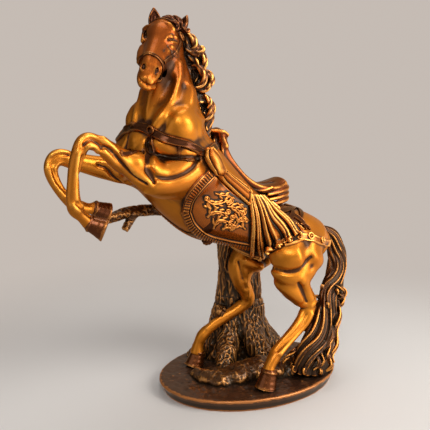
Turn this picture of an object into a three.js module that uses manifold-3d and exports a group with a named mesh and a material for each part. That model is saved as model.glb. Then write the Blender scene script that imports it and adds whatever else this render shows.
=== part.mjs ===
// Rearing horse on an oval base: a cast ornament with saddle, blanket, tree stump and propping tail.
// Millimetres, +Z up. The origin is the centre of the underside. The horse faces -X and its left side is
// toward -Y. It bends to the left, so the chest and head turn toward -Y.

import * as THREE from 'three';
import { mergeVertices } from 'three/addons/utils/BufferGeometryUtils.js';
import Module from 'manifold-3d';

const wasm = await Module();
wasm.setup();

// Glue line between neighbouring castings
const glueGap = 0.3;

// Base
const baseHalfLength = 150;
const baseHalfWidth = 105;
const baseTopHeight = 18.6;
const baseFootShare = 0.953;
const baseCrown = 1.4;
const feltThickness = 1.2;
const feltInset = 9;

// Tack thicknesses
const blanketThickness = 2.4;
const flapThickness = 2.6;
const strapThickness = 2.0;
const pleatDepth = 5.0;
const clothThickness = 2.0;
const girthWidth = 16;
const collarWidth = 10;
const lowerStrapWidth = 7;
const hangerWidth = 5;
const rumpBandWidth = 13;
const bridleThickness = 1.6;
const bridleWidth = 5.5;
const eyeRadius = 4.3;
const bellyHalfWidth = 26;

// Pins and rods that join the castings
const rodRadius = 2.4;
const pinRadius = 2.5;
const rodDepthInBase = 11;
const rodReachInLeg = 24;

// Places of the joints, which the castings on both sides share
const dock = [124, -9, 240];
const hipLeft = [70, -45, 236];
const hipRight = [52, 24, 232];
const shoulderLeft = [-116, -88, 346];
const shoulderRight = [-174, -28, 364];
const neckRoot = [-135, -54, 372];
const poll = [-152, -56, 527];
const muzzle = [-193, -120, 446];

// Hoof places on the ground, and the height of the hoof wall
const hoofLeftHind = [-6, -75];
const hoofRightHind = [-80, 35];
const hoofHeight = 19;

const tailLockCount = 5;
const cantleRollCount = 3;
const cantleRollPitch = 8;

// Places of the bridle's bands along the head
const brow = 0.13;
const noseband = 0.64;

const black = 0x2a1a10;
const bronze = 0x7a4316;
const copper = 0xb8752a;
const gold = 0xcf9440;

function material(color, roughness = 0.32, metalness = 0.7) {
  return new THREE.MeshStandardMaterial({ color, roughness, metalness });
}

// Solids from closed geometries, and back
function solidOf(geometry) {
  geometry.deleteAttribute('normal');
  geometry.deleteAttribute('uv');
  const merged = mergeVertices(geometry, 1e-4);
  return new wasm.Manifold(new wasm.Mesh({
    numProp: 3,
    vertProperties: new Float32Array(merged.attributes.position.array),
    triVerts: new Uint32Array(merged.index.array),
  }));
}

function geometryOf(solid) {
  const mesh = solid.getMesh();
  const geometry = new THREE.BufferGeometry();
  geometry.setAttribute('position', new THREE.BufferAttribute(mesh.vertProperties, 3));
  geometry.setIndex(new THREE.BufferAttribute(mesh.triVerts, 1));
  geometry.computeVertexNormals();
  return geometry;
}

function join(solids) {
  return solids.reduce((whole, solid) => whole.add(solid));
}

function largest(solid) {
  return solid.decompose().reduce((best, piece) => (piece.volume() > best.volume() ? piece : best));
}

// A loft of oval sections. Each station holds a centre x, y, z and the section's reach to the side, over
// (the back of the body, the front of a leg) and under (the belly, the rear of a leg). `turn` is the heading
// in degrees, from -X toward -Y, and runs evenly from its first to its second value. `relief` adds to the
// reach as a function of the place along (0 to 1) and round (radians).
function loft({ stations, turn, steps, sides, dome = [6, 6], relief = () => 0 }) {
  const centres = stations.map(([x, y, z]) => new THREE.Vector3(x, y, z));
  const reaches = stations.map((station) => new THREE.Vector3(...station.slice(3)));
  const path = new THREE.CatmullRomCurve3(centres, false, 'centripetal');
  const girths = new THREE.CatmullRomCurve3(reaches, false, 'catmullrom', 0.5);

  function frame(t) {
    const ahead = path.getTangent(t);
    const heading = THREE.MathUtils.degToRad(THREE.MathUtils.lerp(turn[0], turn[1], t));
    const right = new THREE.Vector3(-Math.sin(heading), Math.cos(heading), 0);
    right.addScaledVector(ahead, -ahead.dot(right)).normalize();
    const under = new THREE.Vector3().crossVectors(ahead, right);
    return { centre: path.getPoint(t), ahead, right, under, reach: girths.getPoint(t) };
  }

  function pointAt(t, angle, lift = 0) {
    const { centre, right, under, reach } = frame(t);
    const extra = lift + relief(t, angle);
    const down = Math.sin(angle) < 0 ? reach.z : reach.y;
    return centre
      .addScaledVector(right, Math.cos(angle) * (reach.x + extra))
      .addScaledVector(under, -Math.sin(angle) * (down + extra));
  }

  // Rings from end to end, with a few shrinking ones that round each end off
  function geometry(grow = 0) {
    const rounds = (sides < 9 ? [0.55] : [0.35, 0.7]).map((share) => (share * Math.PI) / 2);
    const rings = [];
    for (const angle of [...rounds].reverse()) {
      rings.push({ t: 0, shift: -(dome[0] + grow) * Math.sin(angle), share: Math.cos(angle) });
    }
    for (let i = 0; i <= steps; i += 1) {
      rings.push({ t: i / steps, shift: 0, share: 1 });
    }
    for (const angle of rounds) {
      rings.push({ t: 1, shift: (dome[1] + grow) * Math.sin(angle), share: Math.cos(angle) });
    }
    const positions = [];
    for (const { t, shift, share } of rings) {
      const { centre, ahead } = frame(t);
      for (let k = 0; k < sides; k += 1) {
        const rim = pointAt(t, (2 * Math.PI * k) / sides, grow);
        const point = centre.clone().lerp(rim, share).addScaledVector(ahead, shift);
        positions.push(point.x, point.y, point.z);
      }
    }
    const first = frame(0);
    const last = frame(1);
    positions.push(...first.centre.addScaledVector(first.ahead, -dome[0] - grow).toArray());
    positions.push(...last.centre.addScaledVector(last.ahead, dome[1] + grow).toArray());
    const index = [];
    const start = rings.length * sides;
    for (let k = 0; k < sides; k += 1) {
      const next = (k + 1) % sides;
      index.push(start, k, next);
      index.push(start + 1, start - sides + next, start - sides + k);
      for (let row = 0; row < rings.length - 1; row += 1) {
        const a = row * sides + k;
        const b = row * sides + next;
        index.push(a, b + sides, b, a, a + sides, b + sides);
      }
    }
    const shape = new THREE.BufferGeometry();
    shape.setAttribute('position', new THREE.Float32BufferAttribute(positions, 3));
    shape.setIndex(index);
    return shape;
  }

  return { pointAt, centreAt: (t) => path.getPoint(t), solid: (grow = 0) => solidOf(geometry(grow)) };
}

// Several lofts as one solid, all grown by the same amount
function joined(lofts, grow = 0) {
  return join(lofts.map((each) => each.solid(grow)));
}

// A round bar from one point to another
function bar(from, to, radius, sides = 8) {
  const a = new THREE.Vector3(...from);
  const b = new THREE.Vector3(...to);
  const cylinder = new THREE.CylinderGeometry(radius, radius, a.distanceTo(b), sides);
  const turn = new THREE.Quaternion().setFromUnitVectors(new THREE.Vector3(0, 1, 0), b.clone().sub(a).normalize());
  cylinder.applyQuaternion(turn);
  const middle = a.add(b).multiplyScalar(0.5);
  cylinder.translate(middle.x, middle.y, middle.z);
  return solidOf(cylinder);
}

// The same outline, moved out from its middle on every side
function widened(points, by) {
  const middle = points.reduce(([a, b], [x, z]) => [a + x / points.length, b + z / points.length], [0, 0]);
  return points.map(([x, z]) => {
    const away = new THREE.Vector2(x - middle[0], z - middle[1]);
    away.setLength(away.length() + by);
    return [middle[0] + away.x, middle[1] + away.y];
  });
}

// A closed outline in the side view (x, z), run along Y from one depth to the other
function sideOutline(points, fromY, toY, smooth = true) {
  const corners = points.map(([x, z]) => new THREE.Vector2(x, z));
  const shape = new THREE.Shape();
  shape.moveTo(corners[0].x, corners[0].y);
  if (smooth) {
    shape.splineThru([...corners.slice(1), corners[0]]);
  } else {
    corners.slice(1).forEach((corner) => shape.lineTo(corner.x, corner.y));
  }
  const prism = new THREE.ExtrudeGeometry(shape, { depth: toY - fromY, bevelEnabled: false, curveSegments: 3 });
  prism.rotateX(Math.PI / 2);
  prism.translate(0, toY, 0);
  return solidOf(prism);
}

// Body of the horse: headings of the torso's bend, and the stations of each casting
const torso = loft({
  turn: [0, 36],
  steps: 13,
  sides: 16,
  dome: [12, 22],
  stations: [
    [117, -14, 220, 30, 24, 30],
    [100, -12, 228, 44, 34, 42],
    [72, -11, 238, 52, 38, 48],
    [35, -12, 252, 50, 37, 46],
    [-5, -17, 269, 48, 35, 45],
    [-45, -26, 289, 50, 39, 54],
    [-85, -38, 312, 51, 49, 66],
    [-124, -46, 340, 58, 56, 64],
    [-157, -49, 367, 66, 54, 54],
    [-176, -55, 384, 62, 42, 42],
  ],
});

// A muscle runs from the jaw down round the throat side to the chest, with a hollow on both sides of it
function neckMuscle(t, angle) {
  const place = THREE.MathUtils.degToRad(282 - 157 * t);
  const mirrored = 3 * Math.PI - place;
  const fade = THREE.MathUtils.smoothstep(t, 0.2, 0.4) * THREE.MathUtils.smoothstep(1 - t, 0.2, 0.45);
  return [place, mirrored].reduce((sum, middle) => {
    const away = Math.atan2(Math.sin(angle - middle), Math.cos(angle - middle));
    return sum + 4 * fade * Math.cos(3.4 * away) * Math.exp(-1.6 * away * away);
  }, 0);
}

const neck = loft({
  turn: [35, 40],
  steps: 10,
  sides: 16,
  dome: [10, 8],
  relief: neckMuscle,
  stations: [
    [...neckRoot, 25, 30, 28],
    [-149, -58, 403, 48, 45, 46],
    [-150, -62, 431, 38, 39, 42],
    [-152, -65, 458, 28, 33, 31],
    [-156, -65, 485, 23, 28, 26],
    [-157, -63, 508, 20, 23, 22],
    [poll[0] - 3, poll[1] - 4, poll[2] - 7, 15, 14, 15],
  ],
});

// The head's own axes: down the face from poll to muzzle, to the horse's right, and out of the forehead
const faceDown = new THREE.Vector3(...muzzle).sub(new THREE.Vector3(...poll)).normalize();
const faceSide = new THREE.Vector3(-0.766, 0.643, 0);
faceSide.addScaledVector(faceDown, -faceDown.dot(faceSide)).normalize();
const faceOut = new THREE.Vector3().crossVectors(faceSide, faceDown);

// Each row is a section of the head: its place down the face, its front, its back and its half width
const headSections = [
  [-4, 7, -16, 14],
  [8, 12, -27, 18.5],
  [24, 14, -34, 21.5],
  [42, 13.5, -33, 19],
  [58, 12, -24, 16.5],
  [74, 11, -17, 13.6],
  [90, 10.5, -15, 11.6],
  [104, 10, -14, 11],
  [112, 8, -11, 8.6],
];

const head = loft({
  turn: [50, 50],
  steps: 11,
  sides: 12,
  dome: [8, 5],
  stations: headSections.map(([down, front, back, half]) => {
    const centre = new THREE.Vector3(...poll)
      .addScaledVector(faceDown, down)
      .addScaledVector(faceOut, (front + back) / 2);
    return [...centre.toArray(), half, (front - back) / 2, (front - back) / 2];
  }),
});

const forelegLeft = loft({
  turn: [30, 30],
  steps: 14,
  sides: 10,
  dome: [10, 3],
  stations: [
    [...shoulderLeft, 26, 30, 28],
    [-148, -100, 334, 24, 25, 24],
    [-178, -109, 331, 18, 19, 19],
    [-220, -125, 356, 12.5, 13, 13],
    [-250, -136, 375, 9.5, 9.5, 10],
    [-263, -141, 377, 9.3, 10, 8.6],
    [-272, -143, 362, 7.5, 8.6, 7],
    [-278, -142, 335, 6.3, 6.6, 6.6],
    [-277, -138, 307, 8, 8.5, 9],
    [-269, -132, 297, 6.8, 7, 7],
    [-261, -126, 288, 8.5, 8.5, 8.5],
  ],
});

const forelegRight = loft({
  turn: [30, 30],
  steps: 14,
  sides: 10,
  dome: [10, 3],
  stations: [
    [...shoulderRight, 28, 31, 28],
    [-196, -40, 348, 22, 25, 24],
    [-230, -52, 347, 14.5, 15.5, 15],
    [-266, -63, 355, 10.5, 11, 11],
    [-290, -71, 360, 9.5, 10, 9.5],
    [-298, -73, 347, 8, 8.5, 8],
    [-287, -70, 320, 6.3, 6.6, 6.6],
    [-268, -66, 301, 8, 8.5, 9],
    [-254, -62, 297, 6.8, 7, 7],
    [-247, -60, 297, 8.5, 8.5, 8.5],
  ],
});

const hindLegLeft = loft({
  turn: [6, 6],
  steps: 16,
  sides: 10,
  dome: [10, 2],
  stations: [
    [...hipLeft, 25, 34, 32],
    [58, -50, 212, 33, 46, 44],
    [51, -54, 190, 28, 42, 35],
    [51, -55, 168, 21, 30, 26],
    [61, -55, 149, 15, 20, 18],
    [74, -55, 131, 11, 13, 14],
    [66, -58, 113, 9.5, 10.5, 11.5],
    [48, -62, 97, 8, 9, 9],
    [26, -66, 79, 7.6, 8.2, 8.2],
    [8, -70, 63, 9.3, 9.5, 10],
    [-2, -73, 50, 8.6, 9, 9],
    [hoofLeftHind[0] + 1, hoofLeftHind[1] + 1, baseTopHeight + hoofHeight + 2, 11.5, 12, 12],
  ],
});

const hindLegRight = loft({
  turn: [6, 6],
  steps: 16,
  sides: 10,
  dome: [10, 2],
  stations: [
    [...hipRight, 24, 34, 32],
    [20, 20, 206, 28, 35, 34],
    [-4, 21, 182, 21, 26, 26],
    [-5, 22, 158, 14.5, 16, 16],
    [4, 25, 138, 11, 12, 13],
    [9, 28, 122, 10, 11, 13],
    [-5, 29, 109, 8.6, 9.5, 10],
    [-30, 31, 95, 7.6, 8.2, 8.2],
    [-54, 32, 82, 7.8, 8.2, 8.2],
    [-69, 33, 70, 9.3, 9.5, 10],
    [-76, 34, 56, 8.4, 8.6, 8.6],
    [hoofRightHind[0] + 1, hoofRightHind[1], baseTopHeight + hoofHeight + 2, 11.5, 12, 12],
  ],
});

// Hooves: each widens from the coronet to a flat sole
function hoof(crown, sole, heading, reach = 13) {
  return loft({
    turn: [heading, heading],
    steps: 3,
    sides: 10,
    dome: [2, 0.6],
    stations: [
      [...crown, reach - 3.5, reach - 3.5, reach - 3],
      [...crown.map((value, axis) => value * 0.8 + sole[axis] * 0.2), reach - 1.2, reach - 0.8, reach - 1.6],
      [...sole, reach + 2.2, reach + 4.5, reach],
    ],
  });
}

function groundHoof([x, y], heading) {
  const crown = [x + 2, y + 1, baseTopHeight + hoofHeight];
  return hoof(crown, [x - 3, y - 1, baseTopHeight + 0.4], heading);
}

const hoofHindLeft = groundHoof(hoofLeftHind, 6);
const hoofHindRight = groundHoof(hoofRightHind, 6);
const hoofForeLeft = hoof([-261, -126, 288], [-244, -130, 281], 30, 11.5);
const hoofForeRight = hoof([-247, -60, 297], [-230, -56, 291], 30, 11.5);

// Tail: a core with twisted locks, which reaches down to the base and props the figure
const tailRoute = [
  [...dock, 8, 9, 9],
  [146, -12, 228, 9, 13, 13],
  [157, -15, 203, 11, 16, 17],
  [157, -18, 180, 12, 16, 17],
  [149, -22, 158, 12, 16, 17],
  [137, -28, 138, 12, 19, 20],
  [127, -36, 118, 13, 20, 22],
  [114, -44, 97, 14, 22, 25],
  [99, -52, 70, 16, 28, 29],
  [87, -57, 45, 18, 34, 33],
  [82, -59, 20, 20, 38, 35],
];

const tailCore = loft({
  turn: [10, 10],
  steps: 12,
  sides: 9,
  dome: [8, 3],
  stations: tailRoute.map(([x, y, z, ...reach]) => [x, y, z, ...reach.map((value) => value * 0.85)]),
});

// One lock that winds round the core: `phase` is where round it starts, `turns` how far it winds
function tailLock(phase, turns, start, end, thick) {
  const count = 10;
  const stations = [];
  for (let i = 0; i <= count; i += 1) {
    const t = start + ((end - start) * i) / count;
    const angle = phase + (2 * Math.PI * turns * i) / count;
    const swell = Math.sin(Math.PI * (0.12 + (0.78 * i) / count));
    const { x, y, z } = tailCore.pointAt(t, angle, 1.5);
    stations.push([x, y, z, thick * swell, thick * swell, thick * swell]);
  }
  return loft({ turn: [10, 10], steps: 6, sides: 5, dome: [2, 2], stations });
}

const tail = [tailCore];
for (let k = 0; k < tailLockCount; k += 1) {
  const phase = (2 * Math.PI * k) / tailLockCount;
  tail.push(tailLock(phase, 0.35 + 0.1 * (k % 3), 0.06 + 0.02 * (k % 2), 0.9 + 0.05 * (k % 3), 5.5));
}

// Mane: a crest that runs down the back of the neck, with locks that hang from it and curl at the tip
function fromPoll(offset) {
  return poll.map((value, axis) => value + offset[axis]);
}

const maneRoute = [
  fromPoll([9, 1, 9]),
  fromPoll([19, 8, -15]),
  fromPoll([25, 10, -41]),
  [-121, -45, 456],
  [-114, -42, 428],
  [-102, -40, 402],
];

function maneCrest(rows) {
  return loft({
    turn: [35, 35],
    steps: 5,
    sides: 7,
    dome: [3, 3],
    stations: rows.map(([x, y, z]) => [x, y, z, 7, 9, 9]),
  });
}

// A lock's course, as shares of its reach outward and its fall
const hookIn = [[0, 0], [0.55, 0.18], [1, 0.6], [0.85, 1], [0.4, 1.05], [0.3, 0.82]];
const hookOut = [[0, 0], [0.4, 0.25], [0.5, 0.65], [0.75, 0.98], [1.1, 0.98], [1.15, 0.75]];

function curlLock([x, y, z], outward, reach, fall, thick, course = hookIn) {
  const turned = THREE.MathUtils.degToRad(outward);
  const stations = course.map(([out, down], i) => {
    const swell = thick * Math.sin(Math.PI * (0.2 + (0.66 * i) / (course.length - 1)));
    const far = out * reach;
    return [x + far * Math.cos(turned), y + far * Math.sin(turned), z - down * fall, swell, swell, swell * 0.8];
  });
  return loft({ turn: [35, 35], steps: 5, sides: 5, dome: [1.5, 1.5], stations });
}

const maneUpper = [
  maneCrest(maneRoute.slice(0, 4)),
  curlLock(fromPoll([12, -2, 6]), -20, 29, 34, 6),
  curlLock(fromPoll([20, 2, -10]), -75, 28, 34, 6),
  curlLock(fromPoll([23, 5, -21]), -15, 29, 36, 6.5, hookOut),
  curlLock([-127, -52, 490], -55, 30, 34, 6.5),
  curlLock([-123, -50, 474], -15, 30, 32, 6.5),
  curlLock([-120, -52, 462], -65, 30, 32, 6, hookOut),
];

const maneLower = [
  maneCrest(maneRoute.slice(3)),
  curlLock([-120, -46, 448], -15, 28, 32, 6.5, hookOut),
  curlLock([-116, -48, 436], -65, 24, 34, 6.5),
  curlLock([-110, -44, 422], -20, 24, 28, 6.5),
  curlLock([-106, -46, 410], -70, 18, 28, 6, hookOut),
];

const forelock = [
  curlLock(fromPoll([-1, -10, 11]), -115, 24, 20, 5.5),
  curlLock(fromPoll([3, -9, 11]), -92, 22, 24, 5.5, hookOut),
  curlLock(fromPoll([-5, -8, 11]), -145, 21, 15, 5.5),
];

// Ears
function ear(rootOffset, tipOffset, lean) {
  const root = fromPoll(rootOffset);
  const tip = fromPoll(tipOffset);
  const middle = root.map((value, axis) => value * 0.5 + tip[axis] * 0.5);
  return loft({
    turn: [50, 50],
    steps: 6,
    sides: 8,
    dome: [3, 1],
    stations: [
      [...root, 5, 4, 4],
      [middle[0] + lean, middle[1] - 1, middle[2], 7.4, 4.2, 4.2],
      [...tip, 1, 1, 1],
    ],
  });
}

const earRight = ear([-11, 1, -6], [-14, 2, 20], -2);
const earLeft = ear([17, -9, -9], [28, -7, 13], 1);

// Base: an oval slab with an undercut side and a domed top
function baseSolid() {
  const profile = [
    [0, 0],
    [baseFootShare, 0],
    [baseFootShare + 0.03, baseTopHeight * 0.55],
    [1, baseTopHeight * 0.82],
    [0.985, baseTopHeight * 0.97],
    [0.95, baseTopHeight - 0.6],
    [0.7, baseTopHeight],
    [0.35, baseTopHeight + baseCrown * 0.6],
    [0, baseTopHeight + baseCrown],
  ].map(([share, z]) => new THREE.Vector2(share, Math.max(z, feltThickness)));
  const slab = new THREE.LatheGeometry(profile, 28);
  slab.rotateX(Math.PI / 2);
  slab.scale(baseHalfLength, baseHalfWidth, 1);
  return solidOf(slab);
}

function feltSolid() {
  const pad = new THREE.CylinderGeometry(1, 1, feltThickness - glueGap, 22);
  pad.rotateX(Math.PI / 2);
  pad.translate(0, 0, (feltThickness - glueGap) / 2);
  const share = baseFootShare;
  pad.scale(baseHalfLength * share - feltInset, baseHalfWidth * share - feltInset, 1);
  return solidOf(pad);
}

// Tree stump: a barked trunk that leans to the far flank, with spread roots and a cut stub
const trunk = loft({
  turn: [0, 0],
  steps: 7,
  sides: 15,
  dome: [2, 3],
  relief: (t, angle) => 2.6 * Math.sin(5 * angle + 6 * t),
  stations: [
    [8, 60, baseTopHeight - 6, 38, 80, 72],
    [7, 60, 40, 33, 68, 58],
    [5, 60, 75, 28, 52, 46],
    [4, 60, 115, 25, 45, 36],
    [3, 60, 160, 24, 41, 33],
    [-3, 57, 205, 25, 40, 30],
    [-10, 50, 240, 22, 34, 24],
  ],
});

function rootSpur(from, to, thick) {
  const middle = from.map((value, axis) => (value + to[axis]) / 2);
  return loft({
    turn: [0, 0],
    steps: 2,
    sides: 6,
    dome: [3, 3],
    stations: [
      [...from, thick, thick, thick],
      [middle[0], middle[1], middle[2] - 3, thick * 0.85, thick * 0.85, thick * 0.85],
      [...to, thick * 0.5, thick * 0.5, thick * 0.5],
    ],
  });
}

const stump = [
  trunk,
  rootSpur([-20, 34, 60], [-52, -16, 20], 15),
  rootSpur([20, 30, 62], [30, -22, 20], 15),
  rootSpur([-30, 50, 52], [-76, 74, 20], 14),
  rootSpur([38, 50, 62], [88, 44, 20], 14),
  rootSpur([-30, 44, 96], [-46, 34, 112], 9),
];

const branchRoute = [
  [-8, 50, 216, 10],
  [-46, 42, 246, 9.5],
  [-90, 28, 268, 8.5],
  [-130, 8, 282, 7.5],
  [-166, -8, 286, 6.8],
  [-200, -26, 285, 6],
  [-236, -44, 279, 4.5],
];

const branchLoft = loft({
  turn: [0, 0],
  steps: 12,
  sides: 7,
  dome: [4, 3],
  relief: (t, angle) => 0.7 * Math.sin(3 * angle + 20 * t),
  stations: branchRoute.map(([x, y, z, reach]) => [x, y, z, reach, reach, reach]),
});

const branchStub = rootSpur([-188, -20, 285], [-206, -27, 260], 5.5);

// Rocks round the stump
function rock([x, y], [length, width, height], turn) {
  const lump = new THREE.IcosahedronGeometry(1, 1);
  const place = lump.attributes.position;
  for (let i = 0; i < place.count; i += 1) {
    const [a, b, c] = [place.getX(i), place.getY(i), place.getZ(i)];
    const share = 1 + 0.14 * Math.sin(5 * a + 3 * b + turn) * Math.cos(4 * c - 2 * a);
    place.setXYZ(i, a * share, b * share, c * share);
  }
  lump.scale(length, width, height);
  lump.rotateZ(turn);
  lump.translate(x, y, baseTopHeight + height * 0.25);
  return solidOf(lump);
}

const rocks = join([
  rock([-84, -10], [24, 17, 11], 2.1),
  rock([-60, -28], [26, 19, 15], 0.9),
  rock([-32, -34], [24, 20, 20], 1.2),
  rock([2, -34], [26, 18, 24], 0.1),
  rock([32, -42], [28, 20, 20], 0.2),
  rock([62, -40], [24, 20, 24], 0.5),
]);

// Rods stand the hind legs in the base, and pins join the other castings
function hindRod([x, y]) {
  return (grow) => bar(
    [x, y, baseTopHeight - rodDepthInBase - grow],
    [x, y, baseTopHeight + rodReachInLeg + grow],
    rodRadius + grow,
  );
}

function pin(from, to) {
  const a = new THREE.Vector3(...from);
  const b = new THREE.Vector3(...to);
  const ahead = b.clone().sub(a).normalize();
  return (grow) => bar(
    a.clone().addScaledVector(ahead, -grow).toArray(),
    b.clone().addScaledVector(ahead, grow).toArray(),
    pinRadius + grow,
  );
}

const rodLeft = hindRod(hoofLeftHind);
const rodRight = hindRod(hoofRightHind);
const neckPin = pin([-108, -46, 346], [-128, -55, 388]);
const headPin = pin(fromPoll([0, -9, -66]), fromPoll([2, -9, -36]));
const forelegPinLeft = pin([-104, -70, 342], [-128, -94, 344]);
const forelegPinRight = pin([-146, -48, 356], [-168, -38, 348]);
const tailPin = pin([106, -10, 236], [132, -10, 238]);

// Tack: every strap and cloth is the space between the horse's skin and the same skin grown by a thickness,
// kept inside an outline that is drawn in the side view
const legs = [forelegLeft, forelegRight, hindLegLeft, hindLegRight];
const haunches = [torso, hindLegLeft, hindLegRight];

const blanketTop = glueGap + blanketThickness;
const flapTop = blanketTop + glueGap + flapThickness;
const wholeDepth = [-190, 120];

// A strap on the skin: a round tube through points on the skin, sunk toward the casting's middle line until
// only a crown of the strap's width and thickness stands proud. What it lies on cuts the rest away.
function strap(points, width, { thickness = strapThickness, core = torso, grow = 0 } = {}) {
  const radius = (width ** 2 / 4 + thickness ** 2) / (2 * thickness);
  const middles = Array.from({ length: 25 }, (_, i) => core.centreAt(i / 24));
  const course = points.map((place) => {
    const point = new THREE.Vector3(...place);
    const inner = middles.reduce((best, other) => (
      other.distanceTo(point) < best.distanceTo(point) ? other : best
    ));
    return point.clone().add(inner.clone().sub(point).setLength(radius - thickness));
  });
  const section = new THREE.Shape().absarc(0, 0, radius + grow, 0, 2 * Math.PI);
  return solidOf(new THREE.ExtrudeGeometry(section, {
    steps: points.length - 1,
    curveSegments: 4,
    bevelEnabled: false,
    extrudePath: new THREE.CatmullRomCurve3(course),
  }));
}

// Points round a casting at one place along it, from one angle in degrees to another
function arcOn(core, t, from, to, count) {
  return Array.from({ length: count + 1 }, (_, i) => (
    core.pointAt(t, THREE.MathUtils.degToRad(from + ((to - from) * i) / count)).toArray()
  ));
}

const blanketOutline = [
  [-104, 372],
  [-108, 338],
  [-127, 312],
  [-142, 291],
  [-137, 277],
  [-114, 257],
  [-92, 246],
  [-60, 238],
  [-34, 233],
  [-12, 232],
  [30, 262],
  [26, 340],
  [-40, 420],
  [-96, 420],
];

const flapOutline = [
  [-98, 398],
  [-104, 370],
  [-100, 354],
  [-90, 336],
  [-68, 316],
  [-38, 291],
  [-12, 296],
  [24, 304],
  [30, 350],
  [-40, 420],
];

const skinOut = joined([torso, neck, ...legs], glueGap);
const blanketSkin = joined(haunches, blanketTop);
const blanketSkinOut = joined(haunches, blanketTop + glueGap);
const flapSkin = torso.solid(flapTop);

// The blanket leaves the underside of the belly free, where only the girth crosses
function bellyStrip(reach) {
  return loft({
    turn: [0, 36],
    steps: 4,
    sides: 8,
    stations: [0.3, 0.45, 0.6, 0.75, 0.9].map((t) => [
      ...torso.pointAt(t, THREE.MathUtils.degToRad(270)).toArray(), reach, reach * 0.6, reach * 0.6,
    ]),
  }).solid();
}

const blanketFull = blanketSkin.intersect(sideOutline(blanketOutline, ...wholeDepth))
  .subtract(join([skinOut, bellyStrip(bellyHalfWidth)]));
const flapsFull = flapSkin.intersect(sideOutline(flapOutline, ...wholeDepth, false)).subtract(blanketSkinOut)
  .subtract(skinOut);

const seatLoft = loft({
  turn: [12, 12],
  steps: 9,
  sides: 12,
  dome: [5, 5],
  stations: [
    [-84, -38, 386, 12, 7, 20],
    [-74, -37, 388, 14, 7, 28],
    [-65, -35, 372, 14, 8, 27],
    [-58, -33, 357, 16, 8, 24],
    [-39, -29, 334, 22, 7, 20],
    [-9, -22, 316, 27, 7, 15],
    [24, -17, 315, 27, 9, 14],
    [46, -15, 321, 22, 10, 14],
  ],
});

// Three padded rolls lie one under the other round the cantle
const cantleCourse = [
  [5, -46, 305, 2.4],
  [25, -42, 308, 4],
  [42, -34, 312, 4.8],
  [51, -20, 314, 5],
  [53, -6, 314, 5],
  [47, 8, 313, 4.8],
  [30, 18, 310, 4],
  [8, 22, 306, 2.4],
];
const cantleRolls = Array.from({ length: cantleRollCount }, (_, k) => loft({
  turn: [12, 12],
  steps: 5,
  sides: 5,
  dome: [2, 2],
  stations: cantleCourse.map(([x, y, z, reach]) => [x, y, z - cantleRollPitch * k, reach, reach, reach]),
}));
const seatLofts = [seatLoft, ...cantleRolls];

// Drape: pleats that fan out from a gather under the seat's rear edge
function drape(mirror, margin = 0) {
  const folds = 6;
  const columns = folds * 3;
  const rows = 5;
  const positions = [];
  const seatLift = flapTop + 3 * glueGap;
  function point(column, row, lift) {
    const u = THREE.MathUtils.lerp(-margin, 1 + margin, column);
    const v = THREE.MathUtils.lerp(-margin, 1 + margin, row);
    const t = (0.52 - 0.06 * u) * (1 - v) + (0.53 - 0.23 * u) * v;
    const top = 136 - 6 * u;
    const bottom = 240 - 54 * Math.max(u, 0) ** 1.5;
    const degrees = top * (1 - v) + bottom * v;
    const angle = THREE.MathUtils.degToRad(mirror ? 180 - degrees : degrees);
    return torso.pointAt(t, angle, lift);
  }
  for (const outer of [true, false]) {
    for (let j = 0; j <= rows; j += 1) {
      for (let i = 0; i <= columns; i += 1) {
        const share = THREE.MathUtils.lerp(-margin, 1 + margin, i / columns);
        const ridge = Math.abs(Math.sin(Math.PI * folds * share));
        const crown = seatLift + clothThickness + pleatDepth * ridge * (0.5 + (0.5 * j) / rows);
        const lift = outer ? crown + margin * 40 : seatLift * (margin > 0 ? 0 : 1);
        positions.push(...point(i / columns, j / rows, lift).toArray());
      }
    }
  }
  const index = [];
  const width = columns + 1;
  const half = width * (rows + 1);
  function quad(a, b, c, d) {
    index.push(...(mirror ? [a, c, b, a, d, c] : [a, b, c, a, c, d]));
  }
  for (let j = 0; j < rows; j += 1) {
    for (let i = 0; i < columns; i += 1) {
      const a = j * width + i;
      quad(a, a + width, a + width + 1, a + 1);
      quad(half + a, half + a + 1, half + a + width + 1, half + a + width);
    }
    const left = j * width;
    const right = left + columns;
    quad(left, half + left, half + left + width, left + width);
    quad(right, right + width, half + right + width, half + right);
  }
  for (let i = 0; i < columns; i += 1) {
    const bottom = rows * width + i;
    quad(i, i + 1, half + i + 1, half + i);
    quad(bottom, half + bottom, half + bottom + 1, bottom + 1);
  }
  const cloth = new THREE.BufferGeometry();
  cloth.setAttribute('position', new THREE.Float32BufferAttribute(positions, 3));
  cloth.setIndex(index);
  return solidOf(cloth);
}

const drapeLeft = drape(false);
const drapeRight = drape(true);
const drapesOut = drape(false, 0.03).add(drape(true, 0.03));

const collarFull = join([
  strap([
    [-98, -80, 377], [-111, -92, 382], [-128, -101, 389], [-142, -107, 393], [-155, -108, 397], [-168, -101, 402],
    [-180, -93, 408], [-189, -80, 411], [-196, -60, 410], [-200, -40, 404], [-200, -20, 398], [-190, -6, 395],
    [-175, 2, 392], [-160, 6, 388], [-145, 7, 384], [-130, 3, 380], [-115, -1, 376], [-100, -5, 372],
  ], collarWidth),
  strap([
    [-112, -99, 364], [-124, -106, 366], [-137, -110, 368], [-153, -112, 370], [-168, -108, 373], [-184, -98, 375],
    [-195, -83, 374], [-204, -65, 372], [-212, -38, 371], [-208, -12, 371], [-190, 8, 368], [-175, 12, 364],
    [-160, 14, 361], [-145, 14, 358], [-130, 11, 356],
  ], lowerStrapWidth),
  strap([[-181, -92, 407], [-181, -92, 391], [-183, -99, 375]], hangerWidth),
  strap([[-144, -108, 392], [-145, -111, 381], [-145, -111, 369]], hangerWidth),
  strap([[-176, 2, 392], [-177, 8, 380], [-176, 12, 365]], hangerWidth),
  ball([-182, -94, 408], [5, 5, 5]),
]);
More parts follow.
